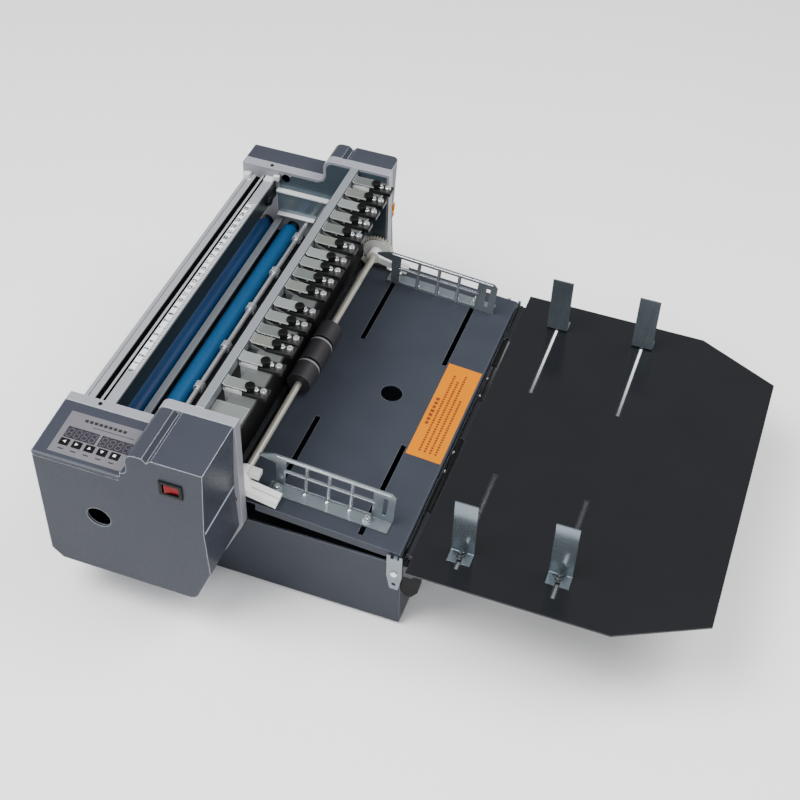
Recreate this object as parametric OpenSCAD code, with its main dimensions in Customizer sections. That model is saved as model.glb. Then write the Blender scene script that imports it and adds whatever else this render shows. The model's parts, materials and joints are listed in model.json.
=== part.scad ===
// Label slitter: a head with a row of slitting knives, a sprung feed table and a paper tray.
// Millimetres. X runs from the rear of the head to the paper tray, Y along the rollers, Z up.

/* [Overall] */
// Inner width between the two side plates
head_gap = 359; // [354:1:364]
// Length of the head, from its rear face to the front edge of the side plates
head_l = 162; // [160:1:166]
// Length of the feed box in front of the head
feed_l = 146; // [143:1:152]
// Length of the paper tray
tray_l = 260; // [240:1:290]
// Width of the paper tray
tray_w = 386; // [376:1:396]
// Height of the covers' lower edge above the floor
head_z = 46; // [42:1:50]
// Height of the low part of the covers
low_z = 190; // [188:1:192]
// Height of the high part of the covers
high_z = 216; // [214:1:220]
// Depth of the near cover, which holds the drive
near_cover_d = 60; // [58:1:66]
// Depth of the far cover
far_cover_d = 23; // [18:1:30]
// Thickness of the side plates
plate_t = 10; // [8:1:12]
// Wall thickness of the covers
cover_t = 2.5; // [2:0.1:3]

/* [Feed box and table] */
// Height of the feed box's top edge
box_z = 86; // [82:1:86]
// Sheet thickness of the feed box
box_t = 2; // [1.5:0.1:2.5]
// Height of the feet
foot_h = 3; // [2:0.5:6]
// Radius of the feet
foot_r = 8; // [6:0.5:10]
// Tilt of the feed table at rest, in degrees
table_tilt = 4.53; // [4:0.01:5]
// Sheet thickness of the feed table
table_t = 1.5; // [1.2:0.1:2]
// Height of the table's top above its pivot
table_rise = 6.2; // [6:0.1:6.6]
// Radius of the pivot pins
pivot_r = 2.5; // [2:0.1:2.8]
// Width of the slots in the table
table_slot_w = 5; // [4.8:0.1:6]
// Radius of the sensor hole in the table
sensor_r = 10.5; // [8:0.5:12]

/* [Side guides] */
// Distance between the two side guides
guide_gap = 295; // [286:1:297]
// Height of the side guides above the table
guide_h = 39; // [36:1:42]
// Sheet thickness of the side guides
guide_t = 1.5; // [1.2:0.1:1.8]
// Width of the side guides' feet
guide_foot = 14; // [13:0.5:15]
// Number of windows along one guide
windows = 4; // [3:1:5]

/* [Paper tray] */
// Height of the tray's top
tray_z = 96; // [95:0.5:97]
// Sheet thickness of the tray
tray_t = 1.6; // [1.4:0.1:2]
// Length of the tray's corner cuts along X
tray_cut_x = 78; // [60:1:90]
// Length of the tray's corner cuts along Y
tray_cut_y = 39; // [30:1:50]
// Width of the slots in the tray
tray_slot_w = 4; // [3.8:0.1:5]
// Width of the paper stops
stop_w = 21; // [18:1:24]
// Height of the paper stops
stop_h = 64; // [50:1:66]
// Sheet thickness of the paper stops
stop_t = 1.5; // [1.2:0.1:2]
// Length of the paper stops' feet
stop_foot = 15; // [14:0.5:17]

/* [Rollers and gears] */
// Height of the sheet's path through the head
paper_z = 112; // [111.5:0.1:112.5]
// Radius of the feed rollers
feed_r = 12.2; // [11.8:0.1:12.4]
// Radius of the feed shaft
feed_shaft_r = 3.5; // [3:0.1:4]
// Radius of the blue exit rollers
exit_r = 9; // [8.5:0.1:9.3]
// Radius of the exit rollers' shafts
exit_shaft_r = 4; // [3.5:0.1:4.5]
// Radius of the anvil roller
anvil_r = 14; // [13.6:0.1:14.4]
// Radius of the anvil roller's shaft
anvil_shaft_r = 5; // [4.5:0.1:5.5]
// Radius of the collar shaft
collar_shaft_r = 2.5; // [2:0.1:3]
// Running clearance between a shaft and its bore
run = 0.05; // [0.03:0.01:0.08]
// Width of the gears in the near cover
gear_w = 8; // [6:0.5:8.5]
// Width of the gears beside the far plate
far_gear_w = 5.5; // [4:0.5:5.5]

/* [Knives] */
// Free gaps between the knife holders, from the far end
knife_gaps = [9, 7, 8, 8, 7, 9, 3, 5, 6, 14, 7, 7, 2, 12, 21];
// Gap between the far plate and the first knife holder
knife_first = 8; // [8:0.5:12]
// Width of a knife holder
holder_w = 12; // [11:0.5:12]
// Radius of the slitting blades
blade_r = 7; // [6:0.1:7.5]
// Thickness of the slitting blades
blade_t = 1; // [0.6:0.1:1.5]
// Distance of a blade's edge from the anvil roller
blade_gap = 0.3; // [0.2:0.05:0.6]

/* [Controls] */
// Drop of the control panel from the plate to its front edge
panel_drop = 5; // [4:0.5:6]
// Width of the push buttons
button_w = 8; // [7:0.1:8.4]
// Depth of the push buttons
button_d = 6.4; // [5.5:0.1:6.8]
// Distance between the push buttons
button_pitch = 11.8; // [11.2:0.1:12]
// Clearance around the push buttons
button_gap = 0.3; // [0.25:0.05:0.4]
// Width of the display windows
display_w = 29.6; // [26:0.1:29.8]
// Depth of the display windows
display_d = 12; // [10:0.1:12.4]
// Width of the rocker's bezel
bezel_w = 21; // [20:0.5:24]
// Height of the rocker's bezel
bezel_h = 16; // [15:0.5:18]
// Tilt of the rocker at rest, in degrees
rocker_tilt = 8; // [5:0.5:9]
// Radius of the round hole in the near cover
cover_hole_r = 11.3; // [9:0.1:13]

/* [Hidden] */
$fn = 48;
eps = 0.1;
slip = 0.05;
bezel_lip = 1.5;
total_w = bezel_lip + near_cover_d + 2 * plate_t + head_gap + far_cover_d;
y_front = bezel_lip - total_w / 2;
y_np = y_front + near_cover_d;
y_ni = y_np + plate_t;
y_fi = y_ni + head_gap;
y_fp = y_fi + plate_t;
y_back = y_fp + far_cover_d;
y_mid = (y_ni + y_fi) / 2;
tray_gap = 8;
total_l = head_l + feed_l + tray_gap + tray_l;
x_rear = -total_l / 2;
x_head = x_rear + head_l;
x_box = x_head + feed_l;
x_tray = x_box + tray_gap;
x_end = x_tray + tray_l;

// Side view of the head
cover_in = 1;
foot_cut = 10;
low_x = x_head - 78;
ridge_x = x_head - 62;
ridge_r = 9;
step_r = 7;
valley_x = x_head - 51;
valley_d = 4;
crease_z = low_z - 49;
crease_in = 4;
edge_z = head_z + 42;
heel_in = 19;

// Feed table
pivot_x = x_box - 5.5;
pivot_z = box_z + 6;
table_end = 4.3;
table_l = pivot_x - x_head + 17;
table_lip = 9;
table_edge = 2.3;
slot_u = [-122.4, -36.6];
slot_in = 57;
slot_out = 171;
sensor_u = -70.2;
gear_notch = [27, 13];

// Rollers
feed_x = x_head - 9;
nip_gap = 0.3;
feed_w = table_rise + feed_r + nip_gap;
feed_z = pivot_z + (feed_w - (feed_x - pivot_x) * sin(table_tilt)) / cos(table_tilt);
exit_z = paper_z + 0.3 + exit_r;
front_x = x_head - 106;
rear_x = front_x - 30;
collar_x = x_head - 87;
collar_z = paper_z + 24;
anvil_z = paper_z - anvil_r;
anvil_teeth = 28;
anvil_far_teeth = 36;
feed_teeth = 32;
pinion_teeth = 16;
transfer_teeth = 44;
exit_teeth = 18;
feed_cd = (anvil_far_teeth + feed_teeth) / 2;
anvil_x = feed_x - sqrt(feed_cd * feed_cd - (feed_z - anvil_z) * (feed_z - anvil_z));
roller_gap = 3;
roller_far_gap = 9;
seg_l = [23, 28, 23];
seg_gap = 4;
seg_y = y_mid + 2.5;

// Gear train: the pinion beside the anvil gear, the transfer gear, the front gear, the idler, the rear gear
pinion_x = anvil_x - (anvil_teeth + pinion_teeth) / 2;
pinion_z = anvil_z;
transfer_p = meet(pinion_x, pinion_z, (pinion_teeth + transfer_teeth) / 2,
    front_x, exit_z, (exit_teeth + transfer_teeth) / 2, 1);
idler_p = meet(front_x, exit_z, exit_teeth, rear_x, exit_z, exit_teeth, 1);
pinion_ph = mesh_phase(180, anvil_teeth, 0, pinion_teeth);
transfer_ph = mesh_phase(turn(pinion_x, pinion_z, transfer_p[0], transfer_p[1]),
    pinion_teeth, pinion_ph, transfer_teeth);
front_ph = mesh_phase(turn(transfer_p[0], transfer_p[1], front_x, exit_z),
    transfer_teeth, transfer_ph, exit_teeth);
idler_ph = mesh_phase(turn(front_x, exit_z, idler_p[0], idler_p[1]), exit_teeth, front_ph, exit_teeth);
rear_ph = mesh_phase(turn(idler_p[0], idler_p[1], rear_x, exit_z), exit_teeth, idler_ph, exit_teeth);
feed_ph = mesh_phase(turn(anvil_x, anvil_z, feed_x, feed_z), anvil_far_teeth, 0, feed_teeth);
gear_y1 = y_np - 5.5;
gear_y0 = gear_y1 - gear_w;
shaft_y0 = gear_y0 - 1;
motor_y = y_np - 15;
bracket_t = 2;
far_gear_y1 = y_fi - box_t - 0.5;
far_gear_y0 = far_gear_y1 - far_gear_w;
stud_r = 4;
bush_wall = 3;
feed_bush_wall = 2.5;
motor_w = 42;
motor_l = 36;
motor_shaft_r = 2.5;

// Knife row
bed_z = high_z - 10;
bed_t = 4;
bed_x1 = x_head - 0.5;
bar_x0 = x_head - 40.5;
bar_x1 = bar_x0 + 8;
stem_w = 7;
stem_x0 = bar_x1 + 1;
stem_x1 = stem_x0 + stem_w;
bed_x0 = stem_x1 + 1;
bed_end = 23;
blade_z = paper_z + blade_gap + blade_r;

// Controls
panel_a = atan(panel_drop / near_cover_d);
label_x = x_rear + 48.2;
button_x = label_x - 2 * button_pitch - 1.4;
button_v = 17.5;
button_up = 1.2;
display_v = 28.3;
display_x = [label_x - 14.4, label_x + 17.4];
board_w0 = -14;
board_t = 1.6;
rocker_x = x_head - 31;
rocker_z = high_z - 27.6;
hole_x = front_x;
bezel_in = 1.5;
rocker_w = bezel_w - 6;
rocker_h = bezel_h - 5.5;
rocker_in = 3;
axle_r = 1.2;
axle_l = bezel_h - 3.4;

// Mains inlet in the rear wall of the box
box_x0 = x_rear + 4;
inlet_y = y_mid + 85;
inlet_w = 30;
inlet_z = 25;
inlet_h = 22;

// Tray
hinge_x = x_box + 4.2;
hinge_z = tray_z - tray_t / 2;
knuckle_r = 2.2;
tray_pin_r = 1.2;
leaf_t = 1.5;
leaf_h = 16;
leaf_in = 14.5;
leaf_half = head_gap / 2 - leaf_in;
fixed_y = 100;
fixed_l = 40;
turn_y = 148;
turn_l = 52;
stop_x = [x_tray + 39.5, x_tray + 126];
stop_in = [152.5, 145.5, 153, 157.5];
tray_slot_in = 57;
tray_slot_out = 173;

function meet(ax, az, ar, bx, bz, br, side) =
    let (d = norm([bx - ax, bz - az]), a = (ar * ar - br * br + d * d) / (2 * d))
    let (h = sqrt(ar * ar - a * a), ux = (bx - ax) / d, uz = (bz - az) / d)
    [ax + a * ux - side * h * uz, az + a * uz + side * h * ux];
function turn(ax, az, bx, bz) = atan2(bz - az, bx - ax);
function mesh_phase(a, ta, pa, tb) = a + 180 - (0.5 - (a - pa) * ta / 360) * 360 / tb;
function arc(cx, cz, r, a0, a1, n) =
    [for (i = [0:n]) [cx + r * cos(a0 + (a1 - a0) * i / n), cz + r * sin(a0 + (a1 - a0) * i / n)]];
function sum_to(v, n) = n <= 0 ? 0 : v[n - 1] + sum_to(v, n - 1);
function knife_y(i) = y_fi - knife_first - holder_w / 2 - i * holder_w - sum_to(knife_gaps, i);

// Prism along Y from an outline in X and Z
module y_prism(y0, y1, pts) {
    translate([0, y1, 0]) rotate([90, 0, 0]) linear_extrude(y1 - y0) polygon(pts);
}
// Rod along Y
module y_rod(x, z, r, y0, y1) {
    translate([x, y0, z]) rotate([-90, 0, 0]) cylinder(r = r, h = y1 - y0);
}
module block(x0, x1, y0, y1, z0, z1) {
    translate([x0, y0, z0]) cube([x1 - x0, y1 - y0, z1 - z0]);
}
// Gear of module 1 along Y
module gear(x, z, teeth, phase, y0, y1) {
    r = teeth / 2;
    root = r - 1.25;
    tip = r + 0.85;
    pitch = 360 / teeth;
    flank = 0.34 * pitch;
    crest = 0.12 * pitch;
    pts = [for (i = [0:teeth - 1], c = [[root, -flank], [tip, -crest], [tip, crest], [root, flank]])
        [x + c[0] * cos(phase + i * pitch + c[1]), z + c[0] * sin(phase + i * pitch + c[1])]];
    y_prism(y0, y1, pts);
}
// Outline of the head seen from the side, pulled in by w
function side_top(w) = concat(
    arc(ridge_x, high_z - ridge_r, ridge_r - w, 90, 180, 6),
    arc(ridge_x - ridge_r - step_r, low_z + step_r, step_r + w, 0, -90, 6),
    [[x_rear + cover_in + w, low_z - w], [x_rear + w, head_z + foot_cut], [x_rear + foot_cut, head_z + w]]);
function plate_outline() = concat(
    [[x_head - heel_in, head_z], [x_head, edge_z], [x_head, high_z]], side_top(0));
function cover_outline(w) = concat(
    [[x_head - cover_in - heel_in - w, head_z + w], [x_head - cover_in - crease_in / 2 - w, edge_z],
     [x_head - cover_in - crease_in - w, crease_z], [x_head - cover_in - w, high_z - w],
     [valley_x + valley_d, high_z - w], [valley_x, high_z - valley_d - w],
     [valley_x - valley_d, high_z - w]],
    side_top(w));
// Frame of the control panel: X, distance up the slope, height over the panel
module on_panel() {
    translate([0, y_front, low_z - panel_drop]) rotate([panel_a, 0, 0]) children();
}
// Frame of the feed table: origin at the pivot
module on_table() {
    translate([pivot_x, 0, pivot_z]) rotate([0, table_tilt, 0]) children();
}
// Copy on both sides of the machine's middle
module both_sides() {
    children();
    translate([0, y_mid, 0]) mirror([0, 1, 0]) translate([0, -y_mid, 0]) children();
}

module chassis() {
    lip_w = 14;
    color([0.31, 0.33, 0.36]) {
        difference() {
            block(box_x0, x_box, y_ni, y_fi, foot_h, box_z);
            block(box_x0 + box_t, x_box - box_t, y_ni + box_t, y_fi - box_t, foot_h + box_t, box_z + eps);
            block(box_x0 - eps, box_x0 + box_t + eps, inlet_y - inlet_w / 2, inlet_y + inlet_w / 2,
                inlet_z - inlet_h / 2, inlet_z + inlet_h / 2);
        }
        // Lip along the rear edge, below the sheet's way out
        block(box_x0, box_x0 + lip_w, y_ni, y_fi, box_z - box_t, box_z);
        // Leaf and fixed knuckles of the tray's hinge
        block(x_box, x_box + leaf_t, y_mid - leaf_half, y_mid + leaf_half, box_z - leaf_h, hinge_z);
        block(x_box - box_t / 2, x_box + leaf_t, y_mid - leaf_half, y_mid + leaf_half,
            box_z - leaf_h, box_z - box_t);
        for (y = [y_mid - fixed_y, y_mid + fixed_y]) {
            block(x_box, hinge_x, y - fixed_l / 2, y + fixed_l / 2, hinge_z - 1, hinge_z + 1);
            y_rod(hinge_x, hinge_z, knuckle_r, y - fixed_l / 2, y + fixed_l / 2);
        }
        y_rod(hinge_x, hinge_z, tray_pin_r, y_mid - turn_y - turn_l / 2, y_mid + turn_y + turn_l / 2);
    }
}

module shaft_holes(y0, y1) {
    y_rod(anvil_x, anvil_z, anvil_shaft_r + bush_wall, y0, y1);
    y_rod(front_x, exit_z, exit_shaft_r + bush_wall, y0, y1);
    y_rod(rear_x, exit_z, exit_shaft_r + bush_wall, y0, y1);
    y_rod(feed_x, feed_z, feed_shaft_r + feed_bush_wall, y0, y1);
    y_rod(collar_x, collar_z, collar_shaft_r + run, y0, y1);
}

module near_side_plate() {
    color([0.65, 0.65, 0.68]) {
        difference() {
            y_prism(y_np, y_ni, plate_outline());
            shaft_holes(y_np - eps, y_ni + eps);
        }
        // Studs of the transfer gear and the idler
        y_rod(transfer_p[0], transfer_p[1], stud_r, gear_y0 - 0.5, y_np + plate_t / 2);
        y_rod(idler_p[0], idler_p[1], stud_r, gear_y0 - 0.5, y_np + plate_t / 2);
    }
}

module far_side_plate() {
    pad_t = 4;
    pad_x0 = x_head - 122;
    pad_x1 = x_head - 64;
    pad_z0 = low_z - 50;
    pad_z1 = low_z - 22;
    pad_slant = 14;
    port_x = x_head - 112.6;
    port_z = low_z - 8;
    port_r = 4.5;
    port_d = 4;
    color([0.65, 0.65, 0.68]) difference() {
        union() {
            y_prism(y_fi, y_fp, plate_outline());
            y_prism(y_fi - pad_t, y_fi + plate_t / 2, [[pad_x0, pad_z0], [pad_x1 - pad_slant, pad_z0],
                [pad_x1, pad_z1], [pad_x0, pad_z1]]);
        }
        shaft_holes(y_fi - eps, y_fp + eps);
        y_rod(port_x, port_z, port_r, y_fi - eps, y_fi + port_d);
    }
}

module near_cover() {
    line_z = low_z - panel_drop - 5;
    line_h = 2;
    line_d = 1.2;
    reach = 20;
    color([0.38, 0.4, 0.43]) difference() {
        y_prism(y_front, y_np, cover_outline(0));
        // Hollow, kept one wall below the sloping control panel
        difference() {
            y_prism(y_front + cover_t, y_np + eps, cover_outline(cover_t));
            on_panel() translate([x_rear - eps, -eps, -cover_t])
                cube([low_x - x_rear, near_cover_d + 2, 4 * panel_drop]);
        }
        on_panel() translate([x_rear - eps, -1, 0])
            cube([low_x - x_rear, near_cover_d + 2, 4 * panel_drop]);
        // Shadow line below the panel's lip
        block(x_rear - eps, low_x - 2, y_front - eps, y_front + line_d, line_z, line_z + line_h);
        on_panel() {
            for (x = display_x) translate([x - display_w / 2, display_v - display_d / 2, -reach / 2])
                cube([display_w, display_d, reach]);
            for (i = [0:4]) translate([button_x + i * button_pitch - button_w / 2 - button_gap,
                button_v - button_d / 2 - button_gap, -reach / 2])
                cube([button_w + 2 * button_gap, button_d + 2 * button_gap, reach]);
        }
        y_rod(hole_x, exit_z, cover_hole_r, y_front - eps, y_front + cover_t + eps);
        translate([rocker_x, y_front, rocker_z])
            cube([bezel_w - 2 * bezel_in, 2 * cover_t + 1, bezel_h - 2 * bezel_in], center = true);
    }
}

module far_cover() {
    color([0.38, 0.4, 0.43]) difference() {
        y_prism(y_fp, y_back, cover_outline(0));
        y_prism(y_fp - eps, y_back - cover_t, cover_outline(cover_t));
    }
}

module rear_profile() {
    x0 = x_rear + 4.5;
    x1 = x0 + 33;
    top = low_z - 11;
    bottom = top - 17;
    // T-slot: mouth, neck and chamber
    mouth0 = x0 + 11.5;
    mouth1 = mouth0 + 9;
    neck_z = top - 5;
    chamber_z = top - 12;
    chamber0 = mouth0 - 3;
    chamber1 = mouth1 + 1.5;
    // Raised land that carries the ruler, with a groove beside it
    land_x = x1 - 10;
    groove_x = land_x - 1;
    groove_z = top - 3;
    // Small groove near the outer edge
    edge_x0 = x0 + 4.5;
    edge_x1 = x0 + 5.5;
    edge_z = top - 3.5;
    color([0.72, 0.73, 0.75]) difference() {
        y_prism(y_ni, y_fi, [[x0, bottom], [x1, bottom], [x1, top], [land_x, top], [land_x, groove_z],
            [groove_x, groove_z], [groove_x, top - 1], [mouth1, top - 1], [mouth1, neck_z],
            [chamber1, neck_z], [chamber1, chamber_z], [chamber0, chamber_z], [chamber0, neck_z],
            [mouth0, neck_z], [mouth0, top - 2], [edge_x1, top - 2], [edge_x1, edge_z],
            [edge_x0, edge_z], [edge_x0, top - 2.5], [x0, top - 4]]);
        // Hollow below the land
        block(x1 - 8, x1 - 2.5, y_ni - eps, y_fi + eps, top - 13, groove_z);
    }
}

module cross_bars() {
    mid_x0 = front_x - 16.3;
    mid_w = 7;
    mid_z = exit_z + exit_r;
    mid_t = 3;
    bar_t = 10;
    color([0.7, 0.71, 0.73]) {
        block(mid_x0, mid_x0 + mid_w, y_ni, y_fi, mid_z, mid_z + mid_t);
        block(bar_x0, bar_x1, y_ni, y_fi, high_z - bar_t, high_z);
    }
}

module knife_bed() {
    color([0.6, 0.61, 0.63]) {
        block(bar_x1, bed_x1, y_ni, y_ni + bed_end, bed_z - bed_t, bed_z);
        block(bed_x0, bed_x1, y_ni + bed_end - 1, y_fi, bed_z - bed_t, bed_z);
    }
}

module sheet_guides() {
    front_guide_x = bed_x0 - 0.8;
    color([0.1, 0.1, 0.11]) {
        difference() {
            block(front_guide_x, front_guide_x + 1, y_ni, y_fi, paper_z + 2, bed_z - bed_t);
            block(front_guide_x - 1, front_guide_x + 2, far_gear_y0 - 1.5, y_fi + eps,
                paper_z, feed_z + feed_teeth / 2 + 3);
        }
        block(rear_x - 8, anvil_x - anvil_r - 2, y_ni, y_fi, paper_z - 2, paper_z - 0.5);
    }
}

module hinge_brackets() {
    plate = 1.5;
    hole_r = 2;
    x0 = x_box - 13;
    x1 = x_box + 1.5;
    xm = (x0 + x1) / 2;
    color([0.67, 0.7, 0.72]) both_sides() {
        difference() {
            y_prism(y_ni - plate, y_ni, [[xm - 4, box_z - 34], [xm + 4, box_z - 34], [x1, box_z - 16],
                [x1, pivot_z + 5], [pivot_x + 4, pivot_z + 5], [pivot_x + 4, pivot_z + 1],
                [pivot_x - 4, pivot_z + 1], [pivot_x - 4, pivot_z + 5], [x0, pivot_z + 5], [x0, box_z - 16]]);
            for (z = [box_z - 12, box_z - 27]) y_rod(xm, z, hole_r, y_ni - plate - eps, y_ni + eps);
        }
        y_rod(pivot_x, pivot_z, pivot_r, y_ni - plate, y_ni + 8);
    }
}

module motor() {
    bore = motor_shaft_r + run;
    x0 = pinion_x - motor_w / 2;
    z0 = pinion_z - motor_w / 2;
    foot_z = z0 - 6;
    color([0.16, 0.16, 0.17]) {
        difference() {
            translate([x0, motor_y - bracket_t - motor_l, z0]) cube([motor_w, motor_l, motor_w]);
            y_rod(pinion_x, pinion_z, bore, motor_y - bracket_t - 24, motor_y);
        }
        difference() {
            union() {
                block(x0, x0 + motor_w, motor_y - bracket_t, motor_y, foot_z, z0 + motor_w);
                block(x0, x0 + motor_w, motor_y - 2 * bracket_t, motor_y, z0, z0 + motor_w);
                block(x0, x0 + motor_w, motor_y - bracket_t, y_np, foot_z, foot_z + bracket_t);
            }
            y_rod(pinion_x, pinion_z, 11, motor_y - bracket_t - eps, motor_y + eps);
            y_rod(pinion_x, pinion_z, bore, motor_y - 3 * bracket_t, motor_y + eps);
        }
    }
}

module control_board() {
    x0 = button_x - 10;
    x1 = button_x + 4 * button_pitch + 12;
    color([0.08, 0.25, 0.14]) on_panel() {
        translate([x0, 9, board_w0]) cube([x1 - x0, 42, board_t]);
        for (x = display_x) translate([x - display_w / 2 + 0.4, display_v - display_d / 2 + 0.4, board_w0])
            cube([display_w - 0.8, display_d - 0.8, -board_w0 - 0.6]);
        for (i = [0:4]) translate([button_x + i * button_pitch - 3, button_v - 3, board_w0])
            cube([6, 6, board_t + 4]);
        // Posts that carry the board under the panel
        for (x = [x0 + 3, x1 - 3]) translate([x, 45, board_w0])
            cylinder(r = 2.5, h = -board_w0 - cover_t);
    }
}

module rocker_bezel() {
    color([0.05, 0.05, 0.05]) translate([rocker_x, y_front, rocker_z]) difference() {
        union() {
            translate([-bezel_w / 2, -bezel_lip, -bezel_h / 2]) cube([bezel_w, bezel_lip, bezel_h]);
            translate([-bezel_w / 2 + bezel_in, 0, -bezel_h / 2 + bezel_in])
                cube([bezel_w - 2 * bezel_in, 16, bezel_h - 2 * bezel_in]);
        }
        translate([-rocker_w / 2, -bezel_lip - eps, -rocker_h / 2])
            cube([rocker_w, 10 + bezel_lip, rocker_h]);
        translate([0, rocker_in, -axle_l / 2 - 0.5]) cylinder(r = axle_r + run, h = axle_l + 1);
    }
}

module rocker() {
    r = rocker_w / 2 - 0.9;
    color([0.67, 0.16, 0.2]) translate([rocker_x, y_front + rocker_in, rocker_z])
        rotate([0, 0, rocker_tilt]) {
        linear_extrude(rocker_h - 0.8, center = true)
            polygon([[-r, 1], [-r, -3.4], [0, -2.6], [r, -3.4], [r, 1], [2.5, 3.5], [-2.5, 3.5]]);
        cylinder(r = axle_r, h = axle_l, center = true);
    }
}

// Flanged bush in a plate, the flange on the outer face
module bush(x, z, r, wall, y0, y1, out) {
    fl = 1.5;
    f0 = out < 0 ? y0 - fl : y1;
    difference() {
        union() {
            y_rod(x, z, r + wall, min(y0, f0), max(y1, f0 + fl));
            y_rod(x, z, r + wall + 2, f0, f0 + fl);
        }
        y_rod(x, z, r + run, y0 - 2 * fl, y1 + 2 * fl);
    }
}

module bearings() {
    color([0.7, 0.6, 0.35]) for (side = [[y_np, y_ni, -1], [y_fi, y_fp, 1]]) {
        bush(anvil_x, anvil_z, anvil_shaft_r, bush_wall, side[0], side[1], side[2]);
        bush(front_x, exit_z, exit_shaft_r, bush_wall, side[0], side[1], side[2]);
        bush(rear_x, exit_z, exit_shaft_r, bush_wall, side[0], side[1], side[2]);
        // Plain bush: the cover's wall is too near for a flange
        difference() {
            y_rod(feed_x, feed_z, feed_shaft_r + feed_bush_wall, side[0], side[1]);
            y_rod(feed_x, feed_z, feed_shaft_r + run, side[0] - 1, side[1] + 1);
        }
    }
}

module screws() {
    head_t = 1.2;
    color([0.75, 0.76, 0.78]) {
        // Hinge brackets
        both_sides() y_rod(x_box - 5.75, box_z - 12, 3.2, y_ni - 1.5 - head_t, y_ni - 1.5);
        // Leaf of the tray's hinge
        for (y = [-65, -40, 40, 65]) translate([x_box + leaf_t, y_mid + y, hinge_z - 4.5]) rotate([0, 90, 0])
            cylinder(r = 2, h = head_t);
        // Upper edges of the side plates
        for (y = [y_ni - plate_t / 2, y_fi + plate_t / 2]) translate([x_rear + 32, y, low_z])
            cylinder(r = 2, h = 0.6);
    }
}

module feet() {
    color([0.06, 0.06, 0.06]) for (x = [x_rear + 22, x_head, x_box - 18], y = [y_ni + 18, y_fi - 18])
        translate([x, y, 0]) cylinder(r = foot_r, h = foot_h);
}

// Block of the inlet's outline, made larger by grow
module inlet_block(x0, x1, grow) {
    block(x0, x1, inlet_y - inlet_w / 2 - grow, inlet_y + inlet_w / 2 + grow,
        inlet_z - inlet_h / 2 - grow, inlet_z + inlet_h / 2 + grow);
}

module power_supply() {
    case_x0 = box_x0 + 12;
    case_l = 100;
    case_w = 50;
    case_h = 40;
    floor_z = foot_h + box_t;
    rim = 4;
    rim_t = 2;
    wall = 3;
    socket_d = 9;
    pin_pitch = 6;
    pin_t = 1.6;
    pin_h = 4;
    color([0.2, 0.2, 0.21]) {
        // Supply case on the floor of the box
        block(case_x0, case_x0 + case_l, inlet_y - case_w / 2, inlet_y + case_w / 2,
            floor_z, floor_z + case_h);
        // Inlet through the rear wall
        difference() {
            union() {
                inlet_block(box_x0 - rim_t, box_x0, rim);
                inlet_block(box_x0 - rim_t / 2, case_x0 + 1, 0);
            }
            inlet_block(box_x0 - rim_t - 1, box_x0 + socket_d, -wall);
        }
        for (i = [-1:1]) translate([box_x0 + 2, inlet_y + i * pin_pitch - pin_t / 2, inlet_z - pin_h / 2])
            cube([socket_d - 1, pin_t, pin_h]);
    }
}

module anvil_roller() {
    color([0.6, 0.61, 0.64]) {
        y_rod(anvil_x, anvil_z, anvil_r, y_ni + roller_gap + 2, y_fi - 11);
        y_rod(anvil_x, anvil_z, anvil_shaft_r, shaft_y0, y_fp + 3);
    }
}

module anvil_gears() {
    color([0.85, 0.84, 0.8]) {
        difference() {
            gear(anvil_x, anvil_z, anvil_teeth, 0, gear_y0, gear_y1);
            y_rod(anvil_x, anvil_z, anvil_shaft_r, gear_y0 - 1, gear_y1 + 1);
        }
        difference() {
            gear(anvil_x, anvil_z, anvil_far_teeth, 0, far_gear_y0, far_gear_y1);
            y_rod(anvil_x, anvil_z, anvil_shaft_r, far_gear_y0 - 1, far_gear_y1 + 1);
        }
    }
}

module exit_roller(x, phase, near_end) {
    y_rod(x, exit_z, exit_r, y_ni + roller_gap, y_fi - roller_far_gap);
    y_rod(x, exit_z, exit_shaft_r, near_end, y_fp + 3);
    gear(x, exit_z, exit_teeth, phase, gear_y0, gear_y1);
}

module front_roller() {
    color([0.11, 0.41, 0.61]) exit_roller(front_x, front_ph, y_np - 44);
}

module rear_roller() {
    color([0.08, 0.24, 0.41]) exit_roller(rear_x, rear_ph, shaft_y0);
}

module collar_shaft() {
    collar_r = collar_shaft_r + 2.5;
    color([0.75, 0.76, 0.78]) {
        y_rod(collar_x, collar_z, collar_shaft_r, y_np - 2, y_fp + 2);
        for (i = [0:5]) y_rod(collar_x, collar_z, collar_r, y_ni + 30 + i * (head_gap - 68) / 5,
            y_ni + 38 + i * (head_gap - 68) / 5);
    }
}

module motor_pinion() {
    color([0.75, 0.65, 0.4]) {
        gear(pinion_x, pinion_z, pinion_teeth, pinion_ph, gear_y0, gear_y1);
        y_rod(pinion_x, pinion_z, motor_shaft_r, motor_y - bracket_t - 22, gear_y1);
    }
}

module stud_gear(p, teeth, phase) {
    difference() {
        gear(p[0], p[1], teeth, phase, gear_y0, gear_y1);
        y_rod(p[0], p[1], stud_r + run, gear_y0 - 1, gear_y1 + 1);
    }
}

module transfer_gear() {
    color([0.85, 0.84, 0.8]) stud_gear(transfer_p, transfer_teeth, transfer_ph);
}

module idler_gear() {
    color([0.85, 0.84, 0.8]) stud_gear(idler_p, exit_teeth, idler_ph);
}

module feed_shaft() {
    color([0.78, 0.78, 0.76]) {
        y_rod(feed_x, feed_z, feed_shaft_r, y_np + 1, y_fp - 1);
        gear(feed_x, feed_z, feed_teeth, feed_ph, far_gear_y0, far_gear_y1);
    }
}

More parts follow.
